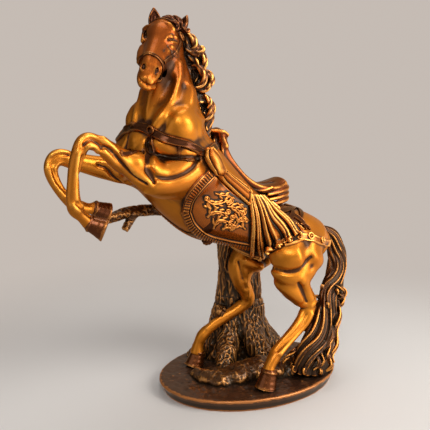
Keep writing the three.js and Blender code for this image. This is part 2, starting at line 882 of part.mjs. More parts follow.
const rumpBand = (grow) => strap([
  [8, -60, 233], [20, -65, 230], [33, -72, 230], [58, -75, 234], [80, -69, 233], [102, -53, 230], [120, -40, 227],
  [130, -14, 222], [128, 8, 226], [110, 26, 232], [92, 35, 236], [68, 40, 240], [40, 39, 245], [8, 32, 252],
], rumpBandWidth, { grow });
const girthFull = strap(arcOn(torso, 0.66, 210, 330, 8), girthWidth).intersect(bellyStrip(bellyHalfWidth - glueGap));
const leafFull = join([
  strap([[49, -60, 272], [60, -62, 262], [68, -64, 253], [78, -65, 244]], 9),
  strap([[42, -66, 254], [58, -64, 258], [76, -58, 266]], 7),
]);

// Head details
function ball([x, y, z], [a, b, c], detail = 8) {
  const sphere = new THREE.SphereGeometry(1, detail, Math.round(detail * 0.7));
  sphere.scale(a, b, c);
  sphere.translate(x, y, z);
  return solidOf(sphere);
}

const eyeRight = head.pointAt(0.3, THREE.MathUtils.degToRad(34), -1.6).toArray();
const eyeLeft = head.pointAt(0.3, THREE.MathUtils.degToRad(146), -1.6).toArray();
const nostrilRight = head.pointAt(0.875, THREE.MathUtils.degToRad(40), 0.5).toArray();
const nostrilLeft = head.pointAt(0.875, THREE.MathUtils.degToRad(140), 0.5).toArray();
const eyes = (radius) => ball(eyeRight, [radius, radius, radius]).add(ball(eyeLeft, [radius, radius, radius]));
const headSolid = join([head.solid(), eyes(eyeRadius)])
  .subtract(ball(nostrilRight, [3, 3, 3.6]))
  .subtract(ball(nostrilLeft, [3, 3, 3.6]));

// Bridle: a noseband, a brow band and a cheek piece on each side
function bridleStrap(points) {
  return strap(points, bridleWidth, { thickness: bridleThickness, core: head });
}

function cheekPiece(degrees) {
  return bridleStrap([brow, 0.24, 0.37, 0.5, noseband].map((t) => (
    head.pointAt(t, THREE.MathUtils.degToRad(degrees)).toArray()
  )));
}

const bridle = join([
  bridleStrap(arcOn(head, noseband, -94, 94, 6)),
  bridleStrap(arcOn(head, noseband, 86, 274, 6)),
  bridleStrap(arcOn(head, brow, 5, 175, 6)),
  cheekPiece(6),
  cheekPiece(174),
]);

// Seating: each casting is cut by the neighbours that it seats on, a glue line apart
const pins = (grow) => join([
  neckPin(grow), headPin(grow), forelegPinLeft(grow), forelegPinRight(grow), tailPin(grow),
]);
const rods = (grow) => join([rodLeft(grow), rodRight(grow)]);
const pinsOut = pins(glueGap);
const rodsOut = rods(glueGap);
const legsOut = joined(legs, glueGap);
const torsoOut = torso.solid(glueGap);
const hoovesOut = joined([hoofHindLeft, hoofHindRight, hoofForeLeft, hoofForeRight], glueGap);
const blanketOut = blanketSkinOut.intersect(sideOutline(widened(blanketOutline, 1), ...wholeDepth));
const rumpBandOut = rumpBand(glueGap);
const tackOut = join([
  sideOutline(widened(blanketOutline, 1), ...wholeDepth),
  sideOutline(widened(flapOutline, 1), ...wholeDepth, false),
]);
const baseOut = baseSolid().translate(0, 0, glueGap);
const stumpOut = joined(stump, glueGap);
const tailOut = tailCore.solid(glueGap);
const earsOut = joined([earLeft, earRight], glueGap);
const headOut = joined([head, neck], glueGap);

function cut(solid, ...cutters) {
  return largest(cutters.reduce((rest, cutter) => rest.subtract(cutter), solid));
}

const base = cut(baseSolid(), rodsOut);
const stumpCut = cut(
  joined(stump), baseOut, torsoOut, legsOut, hoovesOut, blanketOut, branchLoft.solid(glueGap), pinsOut,
);
const branch = cut(joined([branchLoft, branchStub]), torsoOut, legsOut, hoovesOut);
const rockCut = cut(rocks, baseOut, stumpOut, legsOut, hoovesOut, tailOut);
const torsoCut = cut(torso.solid(), legsOut, neck.solid(glueGap), tailOut, pinsOut);
const neckCut = cut(neck.solid(), head.solid(glueGap), eyes(eyeRadius + glueGap), legsOut, pinsOut);
const headCut = cut(headSolid, pinsOut);
const rumpOut = torsoOut.subtract(tailCore.solid());
const tailCut = cut(joined(tail), rumpOut, rumpBandOut, baseOut, pinsOut, legsOut, hoovesOut);
const seat = cut(joined(seatLofts), torso.solid(flapTop + glueGap), neck.solid(glueGap));
const seatOut = joined(seatLofts, glueGap);
const drapeLeftCut = cut(drapeLeft, seatOut, legsOut, hoovesOut);
const drapeRightCut = cut(drapeRight, seatOut, legsOut, hoovesOut, trunk.solid(glueGap));
const maneUpperCut = cut(joined(maneUpper), headOut, earsOut);
const maneUpperOut = joined(maneUpper, glueGap);
const maneLowerCut = cut(
  joined(maneLower), neck.solid(glueGap), torso.solid(flapTop + glueGap), seatOut, maneUpperOut,
);
const forelockCut = cut(joined(forelock), headOut, earsOut, maneUpperOut);
const bridleCut = cut(
  bridle, head.solid(glueGap), eyes(eyeRadius + glueGap), earsOut, neck.solid(glueGap), maneUpperOut,
  joined(forelock, glueGap),
);

const copperPaint = [copper, 0.3, 0.75];
const goldPaint = [gold, 0.28, 0.75];
const bronzePaint = [bronze, 0.35, 0.7];
const darkPaint = [black, 0.5, 0.45];

const pieces = [
  ['felt_pad', feltSolid(), [0x26221f, 0.95, 0]],
  ['base_plinth', base, darkPaint],
  ['ground_rocks', rockCut, darkPaint],
  ['tree_stump', stumpCut, darkPaint],
  ['branch', branch, darkPaint],
  ['torso', torsoCut, goldPaint],
  ['neck', neckCut, copperPaint],
  ['head', headCut, copperPaint],
  ['ear_left', cut(earLeft.solid(), headOut), bronzePaint],
  ['ear_right', cut(earRight.solid(), headOut), bronzePaint],
  ['bridle', bridleCut, bronzePaint],
  ['forelock', forelockCut, bronzePaint],
  ['mane_upper', maneUpperCut, bronzePaint],
  ['mane_lower', maneLowerCut, bronzePaint],
  ['foreleg_left', cut(forelegLeft.solid(), pinsOut, hoofForeLeft.solid(glueGap)), goldPaint],
  ['foreleg_right', cut(forelegRight.solid(), pinsOut, hoofForeRight.solid(glueGap)), goldPaint],
  ['hind_leg_left', cut(hindLegLeft.solid(), rodsOut, hoofHindLeft.solid(glueGap)), goldPaint],
  ['hind_leg_right', cut(hindLegRight.solid(), rodsOut, hoofHindRight.solid(glueGap)), goldPaint],
  ['fore_hoof_left', cut(hoofForeLeft.solid()), bronzePaint],
  ['fore_hoof_right', cut(hoofForeRight.solid()), bronzePaint],
  ['hind_hoof_left', cut(hoofHindLeft.solid(), rodsOut, baseOut), bronzePaint],
  ['hind_hoof_right', cut(hoofHindRight.solid(), rodsOut, baseOut), bronzePaint],
  ['tail', tailCut, bronzePaint],
  ['saddle_blanket', largest(blanketFull), copperPaint],
  ['saddle_flaps', largest(flapsFull), bronzePaint],
  ['saddle_seat', seat, bronzePaint],
  ['drape_left', drapeLeftCut, goldPaint],
  ['drape_right', drapeRightCut, goldPaint],
  ['breast_collar', cut(collarFull, skinOut, tackOut), bronzePaint],
  ['rump_band', cut(rumpBand(0), skinOut, drapesOut, blanketOut), goldPaint],
  ['girth', cut(girthFull, skinOut), bronzePaint],
  ['rump_leaf', cut(leafFull, skinOut, drapesOut, rumpBandOut), goldPaint],
  ['rod_left', rodLeft(0), [0x8f9296, 0.35, 1]],
  ['rod_right', rodRight(0), [0x8f9296, 0.35, 1]],
  ['neck_pin', neckPin(0), [0x8f9296, 0.35, 1]],
  ['head_pin', headPin(0), [0x8f9296, 0.35, 1]],
  ['foreleg_pin_left', forelegPinLeft(0), [0x8f9296, 0.35, 1]],
  ['foreleg_pin_right', forelegPinRight(0), [0x8f9296, 0.35, 1]],
  ['tail_pin', tailPin(0), [0x8f9296, 0.35, 1]],
];

const horse = new THREE.Group();
for (const [name, solid, paint] of pieces) {
  const mesh = new THREE.Mesh(geometryOf(solid), material(...paint));
  mesh.name = name;
  horse.add(mesh);
}

export default horse;
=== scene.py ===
import math

import bpy
import numpy as np
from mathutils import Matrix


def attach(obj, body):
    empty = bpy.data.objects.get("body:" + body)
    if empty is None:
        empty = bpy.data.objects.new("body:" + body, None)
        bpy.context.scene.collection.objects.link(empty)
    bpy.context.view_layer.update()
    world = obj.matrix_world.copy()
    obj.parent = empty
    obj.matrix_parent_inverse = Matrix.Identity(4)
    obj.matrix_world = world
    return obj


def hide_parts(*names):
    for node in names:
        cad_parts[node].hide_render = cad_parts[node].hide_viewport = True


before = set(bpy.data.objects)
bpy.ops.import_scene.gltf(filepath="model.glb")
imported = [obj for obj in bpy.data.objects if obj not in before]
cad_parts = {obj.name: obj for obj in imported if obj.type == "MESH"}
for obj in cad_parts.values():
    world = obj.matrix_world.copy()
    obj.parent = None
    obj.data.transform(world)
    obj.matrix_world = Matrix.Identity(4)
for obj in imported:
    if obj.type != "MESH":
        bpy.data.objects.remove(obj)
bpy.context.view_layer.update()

import openvdb as vdb
from mathutils import Vector, noise
from mathutils.bvhtree import BVHTree

# Grid steps in millimetres
SKIN_STEP = 1.35
FINE_STEP = 0.85
BARK_STEP = 1.5
BRANCH_STEP = 1.1
EAR_STEP = 0.7
PATINA_STEP = 2.0

# The photograph's camera: a 430 pixel frame, its focal length in pixels, and its axes
FRAME_PX = 430
FOCAL_PX = 460
EYE = np.array([-318.6, -648.1, 364.0])
FORWARD = np.array([0.36658, 0.92118, -0.13053])
RIGHT = np.array([0.92913, -0.36975, 0.0])
DOWN = np.array([-0.04826, -0.12128, -0.99144])
VIEW_REACH = (450, 900)  # the object lies between these distances from the camera

# The base: the height of its top and its half axes
BASE_TOP = 18.6
BASE_HALF = (150, 105)

COURSE_POINTS = 14  # places on a muscle or a groove
HOOP_POINTS = 25  # places on a ring
STRAP_STEP = 2.2  # length of a strap's rows
RIM_GAP = 110  # rims of a casting that lie farther apart are closed by fans of their own
LEAF_POINTS = 12  # places on a leaf, on a stem and on its rolled end, and the roll's width in pixels
STEM_POINTS = 30
ROLL_POINTS = 26
ROLL = 2.6
BORDER = 8.6  # the blanket's border and one of its ribs, in pixels
RIB = 2.9
SEAT_RIM = 40  # places on the seat's rims
PLEATS = 6
TAIL_LOCKS = 17
TAIL_ROWS = (238, 380)  # pixel rows between which the tail runs
STRAND_SHARE = 0.62  # a strand's thickness in its lock
RELIEF_REACH = 2.0  # what stands out from the form within this reach counts as relief
RELIEF_SHARE = 0.32  # how much of a millimetre's relief the patina shows
CREASE = 50  # edges sharper than these degrees stay sharp
NECK_ROOT = (392, 462)  # the coat takes on the neck's deeper tone between these heights
BACKDROP = (0.56, 0.50, 0.455)
SOFT_FILL = 0.42  # how much of the backdrop's light falls on the object
LAMP_AIM = Vector((-0.05, -0.03, 0.28))

NO_QUADS = np.zeros((0, 4), int)
NO_TRIS = np.zeros((0, 3), int)
SIDES = (("left", False), ("right", True))


# Curves and lofts
def through(points, t, centripetal=True):
    """The place at each share t of a smooth curve through the points."""
    points = np.asarray(points, float)
    place = np.clip(np.atleast_1d(t), 0, 1) * (len(points) - 1)
    index = np.minimum(place.astype(int), len(points) - 2)
    w = (place - index)[:, None]
    padded = np.vstack([2 * points[0] - points[1], points, 2 * points[-1] - points[-2]])
    p0, p1, p2, p3 = (padded[index + k] for k in range(4))
    if centripetal:
        d0, d1, d2 = (np.sqrt(np.linalg.norm(b - a, axis=1))[:, None] + 1e-6
                      for a, b in ((p0, p1), (p1, p2), (p2, p3)))
        m1 = ((p1 - p0) / d0 - (p2 - p0) / (d0 + d1) + (p2 - p1) / d1) * d1
        m2 = ((p2 - p1) / d1 - (p3 - p1) / (d1 + d2) + (p3 - p2) / d2) * d1
    else:
        m1 = (p2 - p0) / 2
        m2 = (p3 - p1) / 2
    w2 = w * w
    w3 = w2 * w
    return (2 * w3 - 3 * w2 + 1) * p1 + (w3 - 2 * w2 + w) * m1 + (3 * w2 - 2 * w3) * p2 + (w3 - w2) * m2


def unit(v):
    return v / np.maximum(np.linalg.norm(v, axis=-1, keepdims=True), 1e-9)


def tube_faces(rows, sides, first_pole, last_pole):
    """Quads of a tube of rings, and the triangles that close it on its two poles."""
    k = np.arange(sides)
    n = (k + 1) % sides
    quads = []
    for row in range(rows - 1):
        a = row * sides
        quads.append(np.stack([a + k, a + n, a + sides + n, a + sides + k], 1))
    last = (rows - 1) * sides
    first_fan = np.stack([np.full(sides, first_pole), n, k], 1)
    last_fan = np.stack([np.full(sides, last_pole), last + k, last + n], 1)
    return np.vstack(quads), np.vstack([first_fan, last_fan])


class Loft:
    """Oval sections along a curve. A station is x, y, z and the reach to the side, over and under; `turn` is the
    heading in degrees at both ends, from -X toward -Y."""

    def __init__(self, stations, turn=(0, 0), dome=(6, 6), relief=None):
        self.centres = np.array([s[:3] for s in stations], float)
        self.reaches = np.array([s[3:] if len(s) > 4 else [s[3]] * 3 for s in stations], float)
        self.turn, self.dome, self.relief = turn, dome, relief

    def frame(self, t):
        """Centres, ways ahead, to the side and over, and reaches at shares of the curve."""
        t = np.atleast_1d(np.asarray(t, float))
        before, after = np.maximum(t - 1e-4, 0), np.minimum(t + 1e-4, 1)
        ahead = unit(through(self.centres, after) - through(self.centres, before))
        heading = np.radians(self.turn[0] + (self.turn[1] - self.turn[0]) * t)
        side = np.stack([-np.sin(heading), np.cos(heading), 0 * heading], 1)
        side = unit(side - ahead * np.sum(side * ahead, 1, keepdims=True))
        over = np.cross(side, ahead)
        return through(self.centres, t), ahead, side, over, through(self.reaches, t, False)

    def point(self, t, degrees, lift=0.0):
        """A place on the loft's skin; 180 degrees is the horse's left, 90 its top line."""
        t, degrees, lift = np.broadcast_arrays(np.asarray(t, float), degrees, lift)
        angle = np.radians(degrees.ravel())
        centre, _, side, over, reach = self.frame(t.ravel())
        extra = lift.ravel().astype(float)
        if self.relief:
            extra = extra + self.relief(t.ravel(), angle)
        high = np.where(np.sin(angle) < 0, reach[:, 2], reach[:, 1])
        aside = np.cos(angle) * (reach[:, 0] + extra)
        upward = np.sin(angle) * (high + extra)
        out = centre + side * aside[:, None] + over * upward[:, None]
        return out.reshape(t.shape + (3,))

    def spot(self, place):
        """The share along and the degrees round of the skin nearest to a place."""
        t = np.linspace(0, 1, 161)
        centre, ahead, side, over, reach = self.frame(t)
        away = place - centre
        along = np.abs(np.sum(away * ahead, 1))
        score = along + 0.15 * np.linalg.norm(away, axis=1)
        i = int(np.argmin(score))
        a = np.dot(away[i], side[i]) / reach[i, 0]
        b = np.dot(away[i], over[i])
        b /= reach[i, 2] if b < 0 else reach[i, 1]
        return t[i], math.degrees(math.atan2(b, a)) % 360

    def shape(self, steps=60, sides=40):
        """The loft as a closed mesh with rounded ends."""
        rounds = np.linspace(0.12, 0.92, 6) * math.pi / 2
        rings = [(0.0, -self.dome[0] * math.sin(a), math.cos(a)) for a in rounds[::-1]]
        rings += [(i / steps, 0.0, 1.0) for i in range(steps + 1)]
        rings += [(1.0, self.dome[1] * math.sin(a), math.cos(a)) for a in rounds]
        t, shift, share = (np.array(v) for v in zip(*rings))
        centre, ahead, _, _, _ = self.frame(t)
        degrees = np.arange(sides) * 360 / sides
        rim = self.point(t[:, None], degrees[None, :])
        middle = centre[:, None]
        points = middle + (rim - middle) * share[:, None, None] + (ahead * shift[:, None])[:, None]
        ends = np.array([centre[0] - ahead[0] * self.dome[0], centre[-1] + ahead[-1] * self.dome[1]])
        points = np.vstack([points.reshape(-1, 3), ends])
        quads, tris = tube_faces(len(rings), sides, len(points) - 2, len(points) - 1)
        return points, quads[:, ::-1], tris[:, ::-1]


def strand(places, radii, sides=8, count=None):
    """A round tapering tube along some places, its section carried along without twist."""
    count = count or 4 * len(places)
    t = np.linspace(0, 1, count)
    line = through(places, t)
    radius = through(np.asarray(radii, float)[:, None], t, False)[:, 0]
    ahead = unit(np.gradient(line, axis=0))
    side = np.cross(ahead[0], [0.3, -0.5, 0.8])
    angle = np.arange(sides) * 2 * math.pi / sides
    rings = []
    for place, way, reach in zip(line, ahead, radius):
        side = side - way * np.dot(side, way)
        side = side / np.linalg.norm(side)
        up = np.cross(way, side)
        rings.append(place + max(reach, 0.15) * (np.outer(np.cos(angle), side) + np.outer(np.sin(angle), up)))
    first_tip = line[:1] - ahead[:1] * radius[0] * 0.6
    last_tip = line[-1:] + ahead[-1:] * radius[-1] * 0.6
    points = np.vstack([np.vstack(rings), first_tip, last_tip])
    quads, tris = tube_faces(count, sides, len(points) - 2, len(points) - 1)
    return points, quads, tris


def merged(shapes):
    """Several shapes as one."""
    points, quads, tris, start = [], [], [], 0
    for p, q, t in shapes:
        points.append(p)
        quads.append(q + start)
        tris.append(t + start)
        start += len(p)
    return np.vstack(points), np.vstack(quads), np.vstack(tris)


# Clay: the distance to a surface on a regular grid, negative inside
def soft_min(a, b, blend):
    """The smaller distance, rounded over a blend where the two are alike."""
    if not blend:
        return np.minimum(a, b)
    near = np.maximum(blend - np.abs(a - b), 0) / blend
    return np.minimum(a, b) - near * near * (blend / 4)


class Clay:
    """A grid from a low to a high corner. Shapes are added to it and cut from it, each with a soft blend."""

    def __init__(self, low, high, step, reach=15.0):
        self.step, self.reach = step, reach
        self.first = np.floor(np.array(low) / step).astype(int)
        size = np.ceil(np.array(high) / step).astype(int) - self.first + 1
        self.field = np.full(size, reach, np.float32)
        self.label = None

    def window(self, points, margin):
        """The slices of the grid that hold some points, with a margin."""
        low = np.floor((points.min(0) - margin) / self.step).astype(int) - self.first
        high = np.ceil((points.max(0) + margin) / self.step).astype(int) - self.first + 1
        low, high = (np.clip(v, 0, self.field.shape) for v in (low, high))
        return tuple(slice(a, b) for a, b in zip(low, high))

    def places(self, window):
        """The grid's places in some slices, one array for each axis."""
        axes = [(np.arange(s.start, s.stop) + f) * self.step for s, f in zip(window, self.first)]
        return np.meshgrid(*axes, indexing="ij", sparse=True)

    def distance(self, shape):
        """The distances to a closed mesh, with the slices of the grid that they fill."""
        points, quads, tris = shape
        window = self.window(points, self.reach)
        grid = vdb.FloatGrid.createLevelSetFromPolygons(
            points.astype(np.float32), triangles=tris.astype(np.uint32), quads=quads.astype(np.uint32),
            transform=vdb.createLinearTransform(self.step), halfWidth=self.reach / self.step)
        values = np.empty([s.stop - s.start for s in window], np.float32)
        grid.copyToArray(values, ijk=tuple(int(s.start + f) for s, f in zip(window, self.first)))
        return window, values

    def put(self, window, values, blend, label=None):
        """Joins distances to the form. A label marks the places that they win."""
        old = self.field[window]
        if label is not None:
            if self.label is None:
                self.label = np.zeros(self.field.shape, np.uint8)
            self.label[window][values < old] = label
        self.field[window] = soft_min(old, values, blend)

    def cut(self, window, values, blend):
        self.field[window] = -soft_min(-self.field[window], values, blend)

    def add(self, shape, blend=0.0, label=None):
        self.put(*self.distance(shape), blend, label)

    def dig(self, shape, blend):
        self.cut(*self.distance(shape), blend)

    def rope(self, points, radii, margin):
        """Distances to a round rope through the points."""
        points = np.asarray(points, float)
        radii = np.broadcast_to(np.asarray(radii, float), len(points))
        window = self.window(points, radii.max() + margin)
        x, y, z = self.places(window)
        best = None
        for a, b, ra, rb in zip(points[:-1], points[1:], radii[:-1], radii[1:]):
            ab = b - a
            share = ((x - a[0]) * ab[0] + (y - a[1]) * ab[1] + (z - a[2]) * ab[2]) / max(ab @ ab, 1e-9)
            share = np.clip(share, 0, 1)
            gap = np.sqrt((x - a[0] - share * ab[0]) ** 2 + (y - a[1] - share * ab[1]) ** 2
                          + (z - a[2] - share * ab[2]) ** 2)
            gap = gap - (ra + share * (rb - ra))
            best = gap if best is None else np.minimum(best, gap)
        return window, best.astype(np.float32)

    def swell(self, points, radii, blend):
        self.put(*self.rope(points, radii, blend + 2), blend)

    def groove(self, points, radii, blend):
        self.cut(*self.rope(points, radii, blend + 2), blend)

    def egg(self, centre, radii, axes, blend, hollow=False):
        """Adds or digs an ellipsoid whose radii run along the rows of axes."""
        centre, radii = np.asarray(centre, float), np.asarray(radii, float)
        window = self.window(centre[None], radii.max() + blend + 2)
        x, y, z = (v - c for v, c in zip(self.places(window), centre))
        local = [(x * a[0] + y * a[1] + z * a[2]) / r for a, r in zip(axes, radii)]
        k0 = np.sqrt(sum(v * v for v in local)) + 1e-6
        k1 = np.sqrt(sum((v / r) ** 2 for v, r in zip(local, radii))) + 1e-6
        values = (k0 * (k0 - 1) / k1).astype(np.float32)
        (self.cut if hollow else self.put)(window, values, blend)

    def soften(self, passes):
        """Rounds the whole surface a little, as casting and lacquer do."""
        for _ in range(passes):
            for axis in range(3):
                field = np.moveaxis(self.field, axis, 0)
                field[1:-1] = field[1:-1] / 2 + (field[:-2] + field[2:]) / 4

    def value(self, points):
        """The distances at any places, read between the grid's own."""
        return sample(self.field, points / self.step - self.first)

    def slope(self, points):
        """The way straight out of the surface at each place."""
        ways = np.eye(3) * 0.8
        return unit(np.stack([self.value(points + way) - self.value(points - way) for way in ways], -1))

    def settle(self, points, lift=0.0, tries=5):
        """The places moved on to the surface, or to a height over it, and the surface's normals there."""
        points = np.array(points, float)
        for _ in range(tries):
            normal = self.slope(points)
            points = points - normal * (self.value(points) - lift)[..., None]
        return points, self.slope(points)

    def mesh(self, stride=1):
        """The form's surface as points and quads, on every cell or on every few."""
        grid = vdb.FloatGrid(float(self.reach))
        part = np.ascontiguousarray(self.field[::stride, ::stride, ::stride])
        grid.copyFromArray(part, ijk=(0, 0, 0))
        points, quads = grid.convertToQuads(0.0)
        return points * (self.step * stride) + self.first * self.step, quads.astype(int)


def sample(field, place):
    """Values between a grid's cells, for places in cell units."""
    place = np.asarray(place)
    top = np.array(field.shape) - 2
    cell = np.clip(np.floor(place).astype(int), 0, top)
    w = np.clip(place - cell, 0, 1)
    total = 0.0
    for dx in (0, 1):
        for dy in (0, 1):
            for dz in (0, 1):
                share = (np.abs(1 - dx - w[..., 0]) * np.abs(1 - dy - w[..., 1]) * np.abs(1 - dz - w[..., 2]))
                total = total + share * field[cell[..., 0] + dx, cell[..., 1] + dy, cell[..., 2] + dz]
    return total


# The castings' main lofts
torso = Loft([
    (117, -14, 220, 30, 24, 30), (100, -12, 228, 44, 34, 42), (72, -11, 238, 52, 38, 48), (35, -12, 252, 50, 37, 49),
    (-5, -17, 269, 48, 35, 50), (-45, -26, 289, 50, 39, 58), (-85, -38, 312, 51, 49, 67),
    (-124, -46, 340, 58, 56, 64), (-157, -49, 367, 66, 54, 54), (-176, -55, 384, 62, 42, 42),
], turn=(0, 36), dome=(12, 22))
neck = Loft([
    (-135, -54, 372, 25, 30, 28), (-149, -58, 403, 48, 45, 46), (-150, -62, 431, 38, 39, 42),
    (-152, -65, 458, 28, 33, 31), (-156, -65, 485, 23, 28, 26), (-157, -63, 508, 20, 23, 22),
    (-155, -60, 520, 15, 14, 15),
], turn=(35, 40), dome=(10, 8))
foreleg_left = Loft([
    (-116, -88, 346, 26, 30, 28), (-148, -100, 334, 24, 25, 24), (-178, -109, 331, 18, 19, 19),
    (-220, -125, 356, 12.5, 13, 13), (-250, -135, 375, 9.5, 9.5, 10), (-263, -139, 377, 9.3, 10, 8.6),
    (-272, -141, 362, 7.5, 8.6, 7), (-278, -140.5, 335, 6.3, 6.6, 6.6), (-277, -137, 307, 8, 8.5, 9),
    (-269, -132, 297, 6.8, 7, 7), (-261, -126, 288, 8.5, 8.5, 8.5),
], turn=(30, 30), dome=(10, 3))
foreleg_right = Loft([
    (-174, -28, 364, 28, 31, 28), (-196, -40, 348, 22, 25, 24), (-230, -52, 347, 14.5, 15.5, 15),
    (-266, -63, 355, 10.5, 11, 11), (-289.5, -71, 360, 9.5, 10, 9.5), (-297, -73, 347, 8, 8.5, 8),
    (-287, -70, 320, 6.3, 6.6, 6.6), (-268, -66, 301, 8, 8.5, 9), (-254, -62, 297, 6.8, 7, 7),
    (-247, -60, 297, 8.5, 8.5, 8.5),
], turn=(30, 30), dome=(10, 3))
hind_leg_left = Loft([
    (70, -45, 236, 25, 34, 32), (58, -50, 212, 33, 46, 44), (51, -54, 190, 28, 42, 35), (51, -55, 168, 21, 30, 26),
    (61, -55, 149, 15, 20, 18), (74, -55, 131, 11, 13, 14), (66, -58, 113, 9.5, 10.5, 11.5), (48, -62, 97, 8, 9, 9),
    (26, -66, 79, 7.6, 8.2, 8.2), (8, -70, 63, 9.3, 9.5, 10), (-2, -73, 50, 8.6, 9, 9), (-5, -74, 39.6, 11.5, 12, 12),
], turn=(6, 6), dome=(10, 2))
hind_leg_right = Loft([
    (52, 24, 232, 24, 34, 32), (20, 20, 206, 28, 35, 34), (-4, 21, 182, 21, 26, 26), (-5, 22, 158, 14.5, 16, 16),
    (4, 25, 138, 11, 12, 13), (9, 28, 122, 10, 11, 13), (-5, 29, 109, 8.6, 9.5, 10), (-30, 31, 95, 7.6, 8.2, 8.2),
    (-54, 32, 82, 7.8, 8.2, 8.2), (-69, 33, 70, 9.3, 9.5, 10), (-76, 34, 56, 8.4, 8.6, 8.6),
    (-79, 35, 39.6, 11.5, 12, 12),
], turn=(6, 6), dome=(10, 2))

# The head's own axes: to the horse's right, out of the forehead, and down the face from the poll
POLL = np.array([-152.0, -56.0, 527.0])
MUZZLE = np.array([-194.2, -119.6, 446.0])
face_down = unit(MUZZLE - POLL)
face_side = np.array([-0.766, 0.643, 0.0])
face_side = unit(face_side - face_down * (face_side @ face_down))
face_out = np.cross(face_side, face_down)
FACE = np.array([face_side, face_out, face_down])


def in_head(side, out, down):
    """A place given in the head's own axes."""
    return POLL + side * face_side + out * face_out + down * face_down


def head_loft(rows, dome):
    """Sections across the head, each given by its place down the face, its front, its back and its half width."""
    stations = []
    for down, front, back, half in rows:
        stations.append((*in_head(0, (front + back) / 2, down), half, (front - back) / 2, (front - back) / 2))
    return Loft(stations, turn=(50, 50), dome=dome)


skull = head_loft([
    (-4, 7, -16, 14), (8, 12, -27, 18.5), (24, 14, -34, 21.5), (42, 13.5, -33, 19), (58, 12, -24, 16.5),
    (74, 11, -17, 14.0), (90, 10, -15, 12.2), (104, 9.5, -14, 11.8), (112, 7.5, -11, 9.2),
], (8, 5))

# Each casting's loft, and how softly it grows out of those before it
CASTINGS = {
    "torso": (torso, 0), "neck": (neck, 24), "head": (skull, 9),
    "foreleg_left": (foreleg_left, 13), "foreleg_right": (foreleg_right, 13),
    "hind_leg_left": (hind_leg_left, 12), "hind_leg_right": (hind_leg_right, 12),
}
horse = Clay((-315, -160, 25), (150, 90, 552), SKIN_STEP)
for number, (loft, blend) in enumerate(CASTINGS.values()):
    horse.add(loft.shape(), blend, number)


# Places on the skin, as the camera sees them
def ray(px, py):
    """The way from the camera through a pixel."""
    return unit(FORWARD + RIGHT * (px - FRAME_PX / 2) / FOCAL_PX + DOWN * (py - FRAME_PX / 2) / FOCAL_PX)


def at_depth(px, py, place):
    """The camera's view through a pixel, taken at the depth of a place."""
    way = ray(px, py)
    return EYE + way * ((place - EYE) @ FORWARD) / (way @ FORWARD)


class Seen:
    """Finds where the camera's view through a pixel meets a mesh."""

    def __init__(self, points, faces):
        self.tree = BVHTree.FromPolygons(points.tolist(), faces.tolist())

    def at(self, px, py):
        way = ray(px, py)
        hit = self.tree.ray_cast(Vector(EYE), Vector(way))[0]
        if hit is None:
            near = [self.tree.find_nearest(Vector(EYE + way * s)) for s in np.linspace(*VIEW_REACH, 90)]
            hit = min(near, key=lambda found: found[3])[0]
        return np.array(hit)

    def line(self, pixels):
        """Skin places along a line of pixels, kept on the form where the line starts."""
        places = []
        for px, py in pixels:
            place = self.at(px, py)
            if places:
                limit = 4.0 * math.dist((px, py), last) + 16
                if np.linalg.norm(place - places[-1]) > limit:
                    place = np.array(self.tree.find_nearest(Vector(at_depth(px, py, places[-1])))[0])
            places.append(place)
            last = (px, py)
        return np.array(places)


seen = Seen(*horse.mesh(2))


def sunk(places, depth):
    """Skin places moved inward by a depth."""
    return places - horse.slope(places) * np.reshape(depth, (-1, 1))


def course(places, count=COURSE_POINTS):
    """A smooth run of places through a few."""
    return through(places, np.linspace(0, 1, count))


def other_side(loft, places):
    """The places mirrored to the other side of a loft and set on the skin."""
    spots = [loft.spot(p) for p in places]
    t = np.array([s[0] for s in spots])
    degrees = np.array([s[1] for s in spots])
    return horse.settle(loft.point(t, 180 - degrees))[0]


def skin_lines(pixels, loft):
    """A line on the skin behind the pixels and, where a loft is given, its twin on the loft's far side."""
    places = horse.settle(course(seen.line(pixels)))[0]
    return [places] + ([other_side(loft, places)] if loft else [])


def muscle(pixels, radius, lift, blend, loft=None):
    """A rounded muscle that stands `lift` proud along a line on the skin."""
    radii = radius * (0.55 + 0.45 * np.sin(np.linspace(0.15, 0.85, COURSE_POINTS) * math.pi))
    for line in skin_lines(pixels, loft):
        horse.swell(sunk(line, radii - lift), radii, blend)


def valley(pixels, radius, depth, blend, loft=None):
    """A groove `depth` deep along a line on the skin."""
    radii = radius * (0.4 + 0.6 * np.sin(np.linspace(0.08, 0.92, COURSE_POINTS) * math.pi))
    for line in skin_lines(pixels, loft):
        horse.groove(sunk(line, depth - radii), radii, blend)


# Neck and chest
muscle([(179, 64), (179, 78), (176, 92), (169, 104), (161, 115), (155, 125)], 5.5, 3.4, 7, neck)
muscle([(191, 92), (187, 106), (182, 121)], 12, 2.6, 12, neck)
valley([(168, 80), (163, 94), (155, 108), (148, 120)], 9, 4.0, 10, neck)
valley([(185, 88), (181, 103), (173, 116), (165, 126)], 8, 2.8, 10, neck)
muscle([(160, 148), (175, 151), (192, 153)], 14, 3.5, 8)
muscle([(157, 167), (172, 169), (188, 165)], 17, 5.5, 8)
muscle([(135, 140), (138, 152), (140, 162)], 15, 5.5, 9)
muscle([(198, 174), (187, 181), (172, 187), (156, 189)], 12, 3.5, 8)
muscle([(168, 118), (182, 123), (196, 126)], 16, 1.2, 14)
horse.soften(1)
valley([(152, 155), (165, 158), (180, 160), (198, 157)], 2.6, 3.2, 4)
valley([(150, 169), (156, 176), (168, 179), (182, 175), (192, 167), (198, 158)], 2.8, 3.4, 4)
valley([(148, 140), (148, 154), (145, 164), (150, 174), (153, 183)], 4, 5.5, 6)
valley([(127, 138), (124, 150), (127, 162), (137, 170)], 3.4, 3.2, 7)
